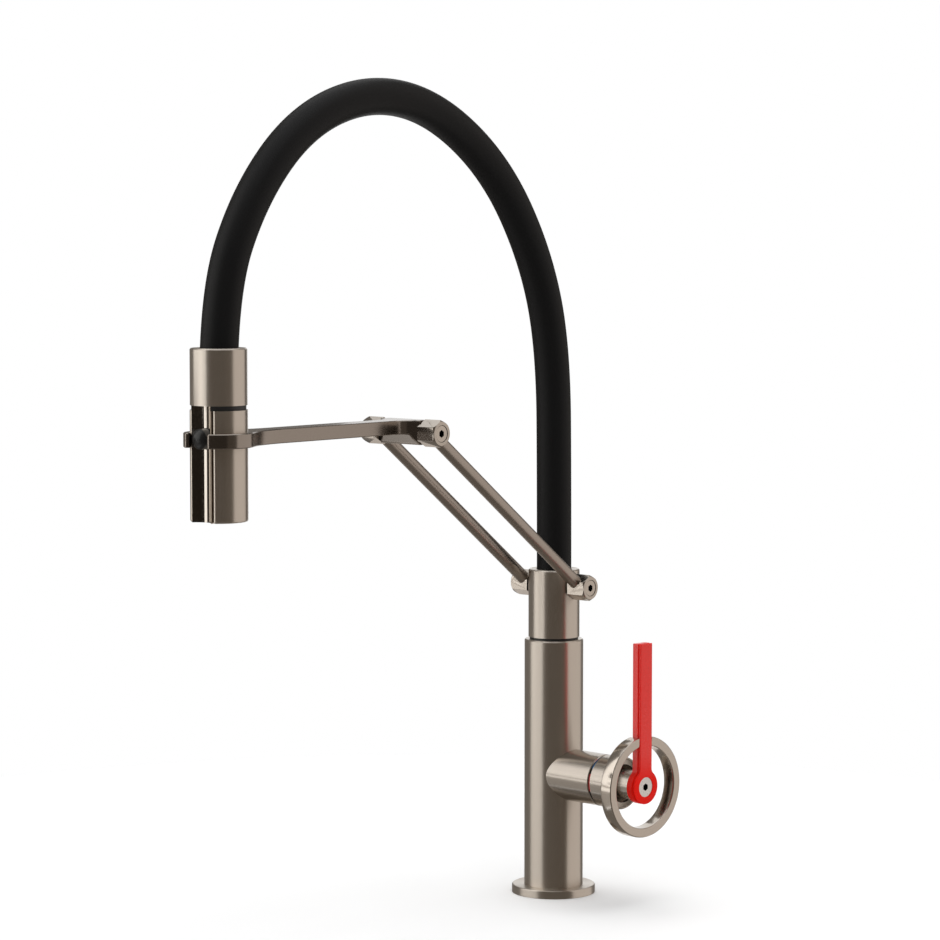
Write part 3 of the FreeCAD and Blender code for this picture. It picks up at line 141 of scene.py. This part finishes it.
# The upper arm, in millimetres from the elbow's axis: a plate from a hexagonal hub to an open ring
# round the spray. Its sides widen to the hub in a hollow sweep.
ELBOW = (0.0, -138.5, 295.6)
ARM_TOP, ARM_LOW = 7.5, -0.7
ARM_HALF = 7.0
ARM_SWEEP = 14.0
ARM_ROUND, ARM_ROUND_STEPS = 0.45, 1
HUB_HALF = 15.7
HUB_CORNER, HUB_EDGE, HUB_LOW = 8.083, 4.041, -7.0
HUB_STEPS = 12
RING_FORWARD = 153.5
RING_INNER, RING_OUTER = 16.1, 19.8
RING_FILLET = 60.0
RING_GAP = 24.0
ARC_STEP = 4.0
SWEEP_START = -HUB_EDGE - math.sqrt(ARM_SWEEP ** 2 - (ARM_SWEEP - HUB_HALF + ARM_HALF) ** 2)
THREAD_RADIUS, THREAD_DEPTH, THREAD_SIDES = 2.5, 8.0, 48

# Edges that are rounded where the light catches them: node, body, slot, width in millimetres,
# steps.
ROUNDED = (
    ("wheel_ring", "lever", "nickel", 0.6, 2),
    ("lever_handle", "lever", "lever_red", 0.45, 2),
    ("lower_knuckle_right", "lower_link", "nickel", 0.3, 1),
    ("lower_knuckle_left", "lower_link", "nickel", 0.3, 1),
    ("elbow_knuckle_right", "lower_link", "nickel", 0.3, 1),
    ("elbow_knuckle_left", "lower_link", "nickel", 0.3, 1),
)

# Angles in degrees: faces that count as one plane, faces that run on smoothly, and edges that are
# sharp enough to round. Points nearer than the merge distances, in millimetres, become one.
FLAT_TO, SMOOTH_TO, ROUND_FROM = 0.5, 20.0, 35.0
NODE_MERGE, ROUND_MERGE = 0.001, 0.005
ROUND_PROFILE = 0.5

# Screws whose hexagon sockets get painted shade, a dark colour in the recess: a point on the axis
# and the head's front along the axis from it, in millimetres.
LOWER_PIVOT, PIVOT_FRONT = (0.0, 0.0, 193.1), 29.1
LEVER_CENTRE, LEVER_FRONT = (0.0, 0.0, 75.5), 78.5
PIVOT_AXIS = (1, 0, 0)
LEVER_TURN = math.radians(5)
LEVER_AXIS = (math.cos(LEVER_TURN), -math.sin(LEVER_TURN), 0)
SOCKET_RADIUS, SOCKET_EDGE = 2.4, 0.05
# The dark colour painted into the sockets as their shade.
SOCKET_SHADE = (0.03, 0.025, 0.02)

# The lever's paint is less glossy at the hub: heights in millimetres, each with its gloss.
LEVER_GLOSS_LOW, LEVER_GLOSS_HIGH = (80.0, 0.06), (96.0, 0.65)

# Surface grain: the noise that becomes lines or speckle, how far it moves the roughness and how
# deep it is.
NOISE_DETAIL = 2.0
NOISE_LOW, NOISE_HIGH = 0.3, 0.7
LINE_SPREAD, LINE_BUMP = 0.01, 0.003
SPECKLE_SPREAD = 0.04
BUMP_DISTANCE = 0.0001
FINE, LONG = 3600.0, 8.0
QUARTER_TURN = 0.25


# Materials


def new_material(name):
    material = bpy.data.materials.new(name)
    material.use_nodes = True
    return material, material.node_tree.nodes["Principled BSDF"]


def vector_step(tree, operation, source, constant=(0, 0, 0)):
    step = tree.nodes.new("ShaderNodeVectorMath")
    step.operation = operation
    tree.links.new(source, step.inputs[0])
    step.inputs[1].default_value = constant
    return step.outputs["Value" if operation in ("DOT_PRODUCT", "LENGTH") else "Vector"]


def number_step(tree, operation, source, other=0.0):
    """A step on two numbers, the second of which is a constant or comes from a node."""
    step = tree.nodes.new("ShaderNodeMath")
    step.operation = operation
    tree.links.new(source, step.inputs[0])
    if isinstance(other, float):
        step.inputs[1].default_value = other
    else:
        tree.links.new(other, step.inputs[1])
    return step.outputs["Value"]


def map_range(tree, source, start, end):
    """Even change between two ends; each is a value of the source and the result there."""
    span = tree.nodes.new("ShaderNodeMapRange")
    span.inputs["From Min"].default_value, span.inputs["To Min"].default_value = start
    span.inputs["From Max"].default_value, span.inputs["To Max"].default_value = end
    tree.links.new(source, span.inputs["Value"])
    return span.outputs["Result"]


def stretched_noise(tree, scale):
    """Noise in the object's own frame, drawn out along the axes with small scales."""
    coords = tree.nodes.new("ShaderNodeTexCoord")
    mapping = tree.nodes.new("ShaderNodeMapping")
    mapping.inputs["Scale"].default_value = scale
    noise = tree.nodes.new("ShaderNodeTexNoise")
    noise.inputs["Scale"].default_value = 1.0
    noise.inputs["Detail"].default_value = NOISE_DETAIL
    tree.links.new(coords.outputs["Object"], mapping.inputs["Vector"])
    tree.links.new(mapping.outputs["Vector"], noise.inputs["Vector"])
    return noise.outputs["Fac"]


def add_grain(tree, shader, noise, roughness, spread, bump):
    """Let noise move the roughness a little each way and raise the surface."""
    low, high = (NOISE_LOW, roughness - spread), (NOISE_HIGH, roughness + spread)
    tree.links.new(map_range(tree, noise, low, high), shader.inputs["Roughness"])
    relief = tree.nodes.new("ShaderNodeBump")
    relief.inputs["Strength"].default_value = bump
    relief.inputs["Distance"].default_value = BUMP_DISTANCE
    tree.links.new(noise, relief.inputs["Height"])
    tree.links.new(relief.outputs["Normal"], shader.inputs["Normal"])


def brushed(name, colour, roughness, scale, stretch=0.0, axis="Z"):
    """Brushed metal whose fine lines run across the axis with the large scale.
    A turned piece also draws its highlights out along its own axis."""
    material, shader = new_material(name)
    tree = material.node_tree
    shader.inputs["Base Color"].default_value = (*colour, 1)
    shader.inputs["Metallic"].default_value = 1.0
    shader.inputs["Anisotropic"].default_value = stretch
    shader.inputs["Anisotropic Rotation"].default_value = QUARTER_TURN
    if stretch:
        around = tree.nodes.new("ShaderNodeTangent")
        around.direction_type = "RADIAL"
        around.axis = axis
        tree.links.new(around.outputs["Tangent"], shader.inputs["Tangent"])
    add_grain(tree, shader, stretched_noise(tree, scale), roughness, LINE_SPREAD, LINE_BUMP)
    return material


def plain(name, colour, roughness, metallic=0.0, grain=900.0, bump=0.05, gloss=0.5):
    """An even surface with a fine speckle."""
    material, shader = new_material(name)
    tree = material.node_tree
    shader.inputs["Base Color"].default_value = (*colour, 1)
    shader.inputs["Metallic"].default_value = metallic
    shader.inputs["Specular IOR Level"].default_value = gloss
    speckle = stretched_noise(tree, (grain, grain, grain))
    add_grain(tree, shader, speckle, roughness, SPECKLE_SPREAD, bump)
    return material


def fade_gloss(material, low, high):
    """Let the gloss change evenly between two heights."""
    tree = material.node_tree
    shader = tree.nodes["Principled BSDF"]
    coords = tree.nodes.new("ShaderNodeTexCoord")
    split = tree.nodes.new("ShaderNodeSeparateXYZ")
    tree.links.new(coords.outputs["Object"], split.inputs["Vector"])
    gloss = map_range(tree, split.outputs["Z"], (low[0] * MM, low[1]), (high[0] * MM, high[1]))
    tree.links.new(gloss, shader.inputs["Specular IOR Level"])


def socketed(name, colour, roughness, point, axis, front):
    """Screw metal with painted shade, a dark colour, in the hexagon socket, behind the head's front
    and near its axis.
    """
    material = plain(name, colour, roughness, 1.0)
    tree = material.node_tree
    shader = tree.nodes["Principled BSDF"]
    coords = tree.nodes.new("ShaderNodeTexCoord")
    centre = [number * MM for number in point]
    place = vector_step(tree, "SUBTRACT", coords.outputs["Object"], centre)
    depth = number_step(tree, "ABSOLUTE", vector_step(tree, "DOT_PRODUCT", place, axis))
    reach = vector_step(tree, "LENGTH", vector_step(tree, "CROSS_PRODUCT", place, axis))
    inside = number_step(tree, "LESS_THAN", reach, SOCKET_RADIUS * MM)
    sunk = number_step(tree, "LESS_THAN", depth, (front - SOCKET_EDGE) * MM)
    # Painted shade: the socket's recess is coloured dark rather than left to its own shadow.
    mix = tree.nodes.new("ShaderNodeMix")
    mix.data_type = "RGBA"
    mix.inputs["A"].default_value = (*colour, 1)
    mix.inputs["B"].default_value = (*SOCKET_SHADE, 1)
    tree.links.new(number_step(tree, "MULTIPLY", inside, sunk), mix.inputs["Factor"])
    tree.links.new(mix.outputs["Result"], shader.inputs["Base Color"])
    return material


# One nickel finish in copies whose base colours are set lighter or darker part by part, which
# paints light and shade: the arm's bar darkest as painted shade, the lever screw palest as a
# painted highlight.
NICKEL = (0.58, 0.525, 0.465)
LATHE = brushed("nickel_turned", (0.625, 0.57, 0.505), 0.34, (LONG, LONG, FINE), 0.82, "Z")
HANDLE = brushed("nickel_handle", (0.50, 0.455, 0.405), 0.24, (FINE, LONG, LONG), 0.6, "X")
WHEEL = brushed("nickel_wheel", NICKEL, 0.16, (FINE, LONG, LONG), 0.3, "X")
KNUCKLE = brushed("nickel_knuckle", (0.54, 0.49, 0.435), 0.16, (LONG, LONG, LONG))
ROD = brushed("nickel_arm", (0.44, 0.39, 0.345), 0.34, (LONG, LONG, LONG))
SHADED_BAR = brushed("nickel_bar_shaded", (0.345, 0.305, 0.27), 0.2, (LONG, LONG, LONG))
POLISHED = plain("polished_metal", (0.62, 0.57, 0.51), 0.07, 1.0, bump=0.0)
BUTTON = plain("dark_button", (0.008, 0.008, 0.008), 0.3, bump=0.0, gloss=0.4)
STEEL = plain("screw_steel", NICKEL, 0.22, 1.0)
LOWER_SCREW = socketed("lower_screw", NICKEL, 0.22, LOWER_PIVOT, PIVOT_AXIS, PIVOT_FRONT)
ELBOW_SCREW = socketed("elbow_screw", NICKEL, 0.22, ELBOW, PIVOT_AXIS, PIVOT_FRONT)
# Paler than the other screws: a painted highlight on the lever's screw.
LIT_LEVER_SCREW = socketed("lever_screw", (0.78, 0.77, 0.75), 0.3, LEVER_CENTRE, LEVER_AXIS,
                       LEVER_FRONT)
BRASS = plain("machined_brass", (0.70, 0.50, 0.22), 0.28, 1.0)
SEAL = plain("seal_rubber", (0.012, 0.012, 0.012), 0.6)
HOSE = plain("hose_rubber", (0.006, 0.006, 0.0062), 0.48, bump=0.08, gloss=0.15)
BLACK = plain("black_plastic", (0.012, 0.012, 0.012), 0.42)
CERAMIC = plain("white_ceramic", (0.8, 0.79, 0.75), 0.12, bump=0.0)
RED = plain("red_paint", (0.70, 0.010, 0.005), 0.25, grain=2500.0, bump=0.004)
BLUE_MARK = plain("blue_mark", (0.0, 0.12, 0.31), 0.3)
RED_MARK = plain("red_mark", (0.55, 0.01, 0.01), 0.3)
fade_gloss(RED, LEVER_GLOSS_LOW, LEVER_GLOSS_HIGH)

# Each finish with its nodes. The nodes that other pieces stand in for, with a finish of their own,
# aren't named here.
FINISHES = (
    (LATHE, ("base_flange", "body_column", "swivel_column", "cartridge_nut", "spray_collar",
             "spray_shell")),
    (HANDLE, ("handle_barrel", "handle_cap", "handle_stem")),
    (WHEEL, ("wheel_ring",)),
    (KNUCKLE, ("lower_knuckle_right", "lower_knuckle_left", "elbow_knuckle_right",
               "elbow_knuckle_left")),
    (ROD, ("link_rod_right", "link_rod_left")),
    (POLISHED, ("spray_trough",)),
    (BUTTON, ("push_button",)),
    (STEEL, ("swivel_set_screw", "tilt_pin")),
    (LOWER_SCREW, ("lower_pivot_screws",)),
    (ELBOW_SCREW, ("elbow_pivot_screws",)),
    (LIT_LEVER_SCREW, ("lever_screw",)),
    (BRASS, ("waterway_block", "hose_ferrule_lower", "hose_ferrule_upper")),
    (SEAL, ("base_gasket", "spigot_seals", "cartridge_gasket")),
    (BLACK, ("slip_ring", "index_ring", "cartridge_housing", "cartridge_rotor", "spray_core",
             "spray_face", "aerator", "diverter_spool", "lower_friction_washers",
             "elbow_friction_washers", "lower_pivot_bushes", "elbow_pivot_bushes")),
    (CERAMIC, ("fixed_ceramic_disc", "moving_ceramic_disc")),
    (RED, ("lever_handle",)),
    (BLUE_MARK, ("cold_mark",)),
    (RED_MARK, ("hot_mark",)),
)


def dress_frame():
    for material, names in FINISHES:
        for name in names:
            slots = NODES[name].data.materials
            slots.clear()
            slots.append(material)


def add_piece(name, mesh, material):
    mesh.materials.append(material)
    piece = bpy.data.objects.new(name, mesh)
    SCENE.collection.objects.link(piece)
    return piece


# Hose


def hose_line():
    """Points along the route's smooth curve, read from a curve with no bevel."""
    curve = bpy.data.curves.new("hose_line", "CURVE")
    curve.dimensions = "3D"
    curve.resolution_u = HOSE_STEPS
    spline = curve.splines.new("NURBS")
    spline.points.add(len(HOSE_ROUTE) - 1)
    for point, (forward, height) in zip(spline.points, HOSE_ROUTE):
        point.co = (0, -forward * MM, height * MM, 1)
    spline.order_u = HOSE_ORDER
    spline.use_endpoint_u = True
    carrier = bpy.data.objects.new("hose_line", curve)
    SCENE.collection.objects.link(carrier)
    line = bpy.data.meshes.new_from_object(carrier)
    points = [vertex.co.copy() for vertex in line.vertices]
    bpy.data.objects.remove(carrier)
    bpy.data.meshes.remove(line)
    return points


def path_length(points):
    return sum((b - a).length for a, b in zip(points, points[1:]))


def tube(name, points, tangents):
    """Closed tube along points in the plane x = 0."""
    radius = HOSE_DIAMETER * MM / 2
    side = Vector((1, 0, 0))
    vertices = []
    for point, tangent in zip(points, tangents):
        outward = tangent.cross(side).normalized()
        for i in range(HOSE_SIDES):
            angle = 2 * math.pi * i / HOSE_SIDES
            across = side * (radius * math.cos(angle))
            vertices.append(point + across + outward * (radius * math.sin(angle)))
    faces = []
    for ring in range(len(points) - 1):
        low = ring * HOSE_SIDES
        for i in range(HOSE_SIDES):
            j = (i + 1) % HOSE_SIDES
            faces.append((low + i, low + j, low + HOSE_SIDES + j, low + HOSE_SIDES + i))
    last = (len(points) - 1) * HOSE_SIDES
    faces.append(tuple(reversed(range(HOSE_SIDES))))
    faces.append(tuple(range(last, last + HOSE_SIDES)))
    mesh = bpy.data.meshes.new(name)
    mesh.from_pydata(vertices, [], faces)
    mesh.polygons.foreach_set("use_smooth", [len(face) == 4 for face in faces])
    ends = set(range(HOSE_SIDES)) | set(range(last, last + HOSE_SIDES))
    for edge in mesh.edges:
        edge.use_edge_sharp = all(index in ends for index in edge.vertices)
    mesh.update()
    return add_piece(name, mesh, HOSE)


def build_hose():
    """Three lengths of one hose, which meet at given shares of its whole length."""
    points = hose_line()
    tangents = [points[1] - points[0]]
    tangents += [after - before for before, after in zip(points, points[2:])]
    tangents += [points[-1] - points[-2]]
    whole = path_length(points)
    run = 0.0
    marks = [0]
    for i in range(1, len(points)):
        run += (points[i] - points[i - 1]).length
        if run >= HOSE_SPLITS[len(marks)] * whole - HOSE_SLACK * MM:
            marks.append(i)
    pairs = (("swivel", "lower_link"), ("lower_link", "upper_arm"), ("upper_arm", "spray"))
    for number, (first, second) in enumerate(pairs):
        start, end = marks[number], marks[number + 1]
        line = points[start:end + 1]
        piece = tube("hose_length_%d" % (number + 1), line, tangents[start:end + 1])
        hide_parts("hose")
        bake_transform(piece)


# Button spring


def build_spring():
    """A coil in the place of its plain sleeve, behind the button."""
    low, high = (Vector(corner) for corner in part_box("button_spring"))
    centre = (low + high) / 2
    wire = SPRING_WIRE * MM / 2
    radius = (high.x - low.x) / 2 - wire
    first = low.y + wire + SPRING_PLAY * MM
    last = high.y - wire - SPRING_PLAY * MM
    rings = SPRING_TURNS * SPRING_STEPS + 1
    vertices = []
    for ring in range(rings):
        turn = 2 * math.pi * ring / SPRING_STEPS
        outward = Vector((math.cos(turn), 0, math.sin(turn)))
        forward = first + (last - first) * ring / (rings - 1)
        for i in range(SPRING_SIDES):
            angle = 2 * math.pi * i / SPRING_SIDES
            reach = radius + wire * math.cos(angle)
            vertices.append((centre.x + outward.x * reach, forward + wire * math.sin(angle),
                             centre.z + outward.z * reach))
    faces = []
    for ring in range(rings - 1):
        start = ring * SPRING_SIDES
        for i in range(SPRING_SIDES):
            j = (i + 1) % SPRING_SIDES
            faces.append((start + i, start + j, start + SPRING_SIDES + j, start + SPRING_SIDES + i))
    faces.append(tuple(reversed(range(SPRING_SIDES))))
    faces.append(tuple(range((rings - 1) * SPRING_SIDES, rings * SPRING_SIDES)))
    mesh = bpy.data.meshes.new("button_coil")
    mesh.from_pydata(vertices, [], faces)
    mesh.polygons.foreach_set("use_smooth", [len(face) == 4 for face in faces])
    coil = add_piece("button_coil", mesh, STEEL)
    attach(coil, "spray")
    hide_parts("button_spring")
    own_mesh(coil)


# Upper arm


def finish_mesh(grid, name, material):
    """A piece from a closed bmesh, smooth where its faces nearly run on."""
    bmesh.ops.recalc_face_normals(grid, faces=grid.faces)
    mesh = bpy.data.meshes.new(name)
    grid.to_mesh(mesh)
    grid.free()
    mesh.shade_smooth()
    mesh.set_sharp_from_angle(angle=math.radians(SMOOTH_TO))
    return add_piece(name, mesh, material)


def round_edges(grid, width, steps):
    sharp = [edge for edge in grid.edges
             if len(edge.link_faces) == 2 and edge.calc_face_angle() > math.radians(ROUND_FROM)]
    bmesh.ops.bevel(grid, geom=sharp, offset=width * MM, offset_type="OFFSET", segments=steps,
                    profile=ROUND_PROFILE, affect="EDGES", clamp_overlap=True)
    bmesh.ops.remove_doubles(grid, verts=grid.verts, dist=ROUND_MERGE * MM)


def arc(centre, radius, first, last):
    """Points on a circle between two angles in degrees, ends included."""
    steps = max(2, round(abs(last - first) / ARC_STEP))
    angles = [math.radians(first + (last - first) * i / steps) for i in range(steps + 1)]
    return [(centre[0] + radius * math.cos(a), centre[1] + radius * math.sin(a)) for a in angles]


def sweep_width(forward):
    """Half width of the arm where it widens to the hub."""
    reach = max(0.0, forward - SWEEP_START)
    return ARM_HALF + ARM_SWEEP - math.sqrt(ARM_SWEEP ** 2 - reach ** 2)


def arm_side(first):
    """Right half of the arm's outline, from the hub to the middle of the ring's bore."""
    points = []
    for i in range(HUB_STEPS + 1):
        forward = first + (SWEEP_START - first) * i / HUB_STEPS
        points.append((sweep_width(forward), forward))
    middle = (0.0, -RING_FORWARD)
    rise = math.sqrt((RING_OUTER + RING_FILLET) ** 2 - (ARM_HALF + RING_FILLET) ** 2)
    corner = (ARM_HALF + RING_FILLET, -RING_FORWARD + rise)
    lean = math.degrees(math.atan2(rise, ARM_HALF + RING_FILLET))
    points += arc(corner, RING_FILLET, 180, 180 + lean)
    tip = (RING_OUTER - RING_INNER) / 2
    mean = RING_INNER + tip
    end = -90 + RING_GAP + math.degrees(tip / mean)
    points += arc(middle, RING_OUTER, lean, end)[1:]
    turn = math.radians(end)
    tip_centre = (mean * math.cos(turn), -RING_FORWARD + mean * math.sin(turn))
    points += arc(tip_centre, tip, end, end - 180)[1:]
    points += arc(middle, RING_INNER, end, 90)[1:]
    return points


def join(grid, a, b):
    """Four faces between two four-cornered sections."""
    for i in range(4):
        j = (i + 1) % 4
        grid.faces.new((a[i], a[j], b[j], b[i]))


def from_elbow(x, y, z):
    return [(a + b) * MM for a, b in zip(ELBOW, (x, y, z))]


def drill(piece):
    """Cut the two threaded holes for the elbow's screws."""
    cutters = []
    for middle in (HUB_HALF, -HUB_HALF):
        bpy.ops.mesh.primitive_cylinder_add(
            vertices=THREAD_SIDES, radius=THREAD_RADIUS * MM, depth=2 * THREAD_DEPTH * MM,
            location=from_elbow(middle, 0, 0), rotation=(0, math.pi / 2, 0))
        cutters.append(bpy.context.object)
        hole = piece.modifiers.new("thread", "BOOLEAN")
        hole.operation = "DIFFERENCE"
        hole.solver = "EXACT"
        hole.object = cutters[-1]
    bpy.context.view_layer.update()
    shown = piece.evaluated_get(bpy.context.evaluated_depsgraph_get())
    drilled = bpy.data.meshes.new_from_object(shown)
    piece.modifiers.clear()
    piece.data = drilled
    for cutter in cutters:
        bpy.data.objects.remove(cutter)


def build_arm():
    """One plate with its hub, whose sides run out to the knuckles in a hollow sweep."""
    slope = HUB_LOW / (HUB_EDGE - HUB_CORNER)
    first = -HUB_CORNER - ARM_LOW / slope
    right = arm_side(first)
    outline = right + [(-x, y) for x, y in reversed(right[:-1])]
    grid = bmesh.new()

    def corner(x, y, z):
        return grid.verts.new(from_elbow(x, y, z))

    def section(half, forward, low):
        return [corner(half, forward, low), corner(half, forward, ARM_TOP),
                corner(-half, forward, ARM_TOP), corner(-half, forward, low)]

    upper = [corner(x, y, ARM_TOP) for x, y in outline]
    lower = [corner(x, y, ARM_LOW) for x, y in outline]
    grid.faces.new(upper)
    grid.faces.new(lower)
    for i in range(len(outline) - 1):
        grid.faces.new((upper[i], upper[i + 1], lower[i + 1], lower[i]))
    last = (lower[0], upper[0], upper[-1], lower[-1])
    for i in range(1, HUB_STEPS + 1):
        forward = first + (-HUB_EDGE - first) * i / HUB_STEPS
        step = section(sweep_width(forward), forward, -slope * (forward + HUB_CORNER))
        join(grid, last, step)
        last = step
    back = section(HUB_HALF, HUB_EDGE, HUB_LOW)
    join(grid, last, back)
    ridge = [corner(HUB_HALF, HUB_CORNER, 0), corner(-HUB_HALF, HUB_CORNER, 0)]
    grid.faces.new((back[1], back[2], ridge[1], ridge[0]))
    grid.faces.new((back[3], back[0], ridge[0], ridge[1]))
    grid.faces.new((back[0], back[1], ridge[0]))
    grid.faces.new((back[2], back[3], ridge[1]))
    bmesh.ops.recalc_face_normals(grid, faces=grid.faces)
    round_edges(grid, ARM_ROUND, ARM_ROUND_STEPS)
    piece = finish_mesh(grid, "arm_plate", SHADED_BAR)
    drill(piece)
    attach(piece, "upper_arm")
    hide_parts("upper_arm")


# Rounded edges


def round_pieces():
    """Copies of plain nodes with a small round on every sharp edge."""
    for name, body, slot, width, steps in ROUNDED:
        plain_mesh = NODES[name].data
        grid = bmesh.new()
        grid.from_mesh(plain_mesh)
        bmesh.ops.remove_doubles(grid, verts=grid.verts, dist=NODE_MERGE * MM)
        bmesh.ops.dissolve_limit(grid, angle_limit=math.radians(FLAT_TO), verts=grid.verts,
                                 edges=grid.edges)
        round_edges(grid, width, steps)
        piece = finish_mesh(grid, name + "_rounded", plain_mesh.materials[0])
        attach(piece, body)
        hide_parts(name)


# Surroundings


def build_floor():
    bpy.ops.mesh.primitive_circle_add(vertices=FLOOR_SIDES, radius=FLOOR_RADIUS, fill_type="NGON",
                                      location=FLOOR_PLACE)
    floor = bpy.context.object
    floor.name = "floor"
    material, shader = new_material("pale_floor")
    shader.inputs["Base Color"].default_value = (*FLOOR_COLOUR, 1)
    shader.inputs["Roughness"].default_value = FLOOR_ROUGHNESS
    shader.inputs["Specular IOR Level"].default_value = FLOOR_GLOSS
    floor.data.materials.append(material)
    floor.visible_glossy = False


def build_world():
    """White as the camera, metal and glass see it, and an even surround for everything else."""
    world = bpy.data.worlds.new("studio")
    SCENE.world = world
    world.use_nodes = True
    tree = world.node_tree
    surround = tree.nodes["Background"]
    surround.inputs["Color"].default_value = (1, 1, 1, 1)
    surround.inputs["Strength"].default_value = SURROUND
    white = tree.nodes.new("ShaderNodeBackground")
    white.inputs["Color"].default_value = (1, 1, 1, 1)
    white.inputs["Strength"].default_value = 1.0
    ray = tree.nodes.new("ShaderNodeLightPath")
    seen = ray.outputs["Is Camera Ray"]
    for kind in ("Is Glossy Ray", "Is Transmission Ray"):
        seen = number_step(tree, "MAXIMUM", seen, ray.outputs[kind])
    mix = tree.nodes.new("ShaderNodeMixShader")
    tree.links.new(seen, mix.inputs["Fac"])
    tree.links.new(surround.outputs["Background"], mix.inputs[1])
    tree.links.new(white.outputs["Background"], mix.inputs[2])
    tree.links.new(mix.outputs["Shader"], tree.nodes["World Output"].inputs["Surface"])


def direction(azimuth, elevation=0.0):
    """Unit vector from the object; azimuth 0 is in front of it and 90 on its right."""
    turn, rise = math.radians(azimuth), math.radians(elevation)
    level = math.cos(rise)
    return Vector((math.sin(turn) * level, -math.cos(turn) * level, math.sin(rise)))


def add_panel(name, vertices, faces, colour):
    """A panel that glows with its colour and shows only in reflections, where it paints a band."""
    mesh = bpy.data.meshes.new(name)
    mesh.from_pydata(vertices, [], faces)
    material, shader = new_material(name)
    shader.inputs["Base Color"].default_value = (0, 0, 0, 1)
    shader.inputs["Specular IOR Level"].default_value = 0.0
    shader.inputs["Emission Color"].default_value = (*colour, 1)
    shader.inputs["Emission Strength"].default_value = 1.0
    panel = add_piece(name, mesh, material)
    panel.visible_camera = False
    panel.visible_diffuse = False
    panel.visible_shadow = False


def build_panels():
    """Glowing panels round and under the object, seen only in the metal's reflections, where they
    paint bright and dark bands.
    """
    centre = Vector(STUDIO_CENTRE)
    for name, distance, first, last, low, high, colour in PANELS:
        vertices = []
        for azimuth in range(first, last + 1):
            foot = centre + direction(azimuth) * distance
            vertices += [(foot.x, foot.y, low), (foot.x, foot.y, high)]
        faces = [(i, i + 2, i + 3, i + 1) for i in range(0, len(vertices) - 2, 2)]
        add_panel(name, vertices, faces, colour)
    rim = [centre + direction(azimuth) * BELOW_RADIUS for azimuth in range(0, 360, BELOW_STEP)]
    sheet = [(point.x, point.y, BELOW_HEIGHT) for point in rim]
    add_panel("panel_below", sheet, [tuple(range(len(rim)))], BELOW_COLOUR)


def add_lamp(name, kind, energy, away, distance):
    """A lamp seen only by its light, aimed at the middle of the object."""
    light = bpy.data.lights.new(name, kind)
    light.energy = energy
    lamp = bpy.data.objects.new(name, light)
    SCENE.collection.objects.link(lamp)
    lamp.location = Vector(STUDIO_CENTRE) + away * distance
    lamp.rotation_mode = "QUATERNION"
    lamp.rotation_quaternion = away.to_track_quat("Z", "Y")
    lamp.visible_glossy = False
    return light


def build_lights():
    overhead = add_lamp("overhead", "SUN", OVERHEAD, Vector((0, 0, 1)), OVERHEAD_DISTANCE)
    overhead.angle = math.radians(OVERHEAD_ANGLE)
    away = direction(SOFTBOX_AZIMUTH, SOFTBOX_ELEVATION)
    softbox = add_lamp("softbox", "AREA", SOFTBOX, away, SOFTBOX_DISTANCE)
    softbox.shape = "RECTANGLE"
    softbox.size, softbox.size_y = SOFTBOX_WIDTH, SOFTBOX_HEIGHT


def build_camera():
    data = bpy.data.cameras.new("camera")
    data.sensor_width = SENSOR_WIDTH
    data.lens = CAMERA_LENS
    camera = bpy.data.objects.new("camera", data)
    SCENE.collection.objects.link(camera)
    camera.location = CAMERA_PLACE
    camera.rotation_euler = (math.radians(90 - CAMERA_PITCH), 0, math.radians(CAMERA_AZIMUTH))
    SCENE.camera = camera


dress_frame()
build_hose()
build_spring()
build_arm()
round_pieces()
build_floor()
build_world()
build_panels()
build_lights()
build_camera()
SCENE.view_settings.view_transform = "Standard"
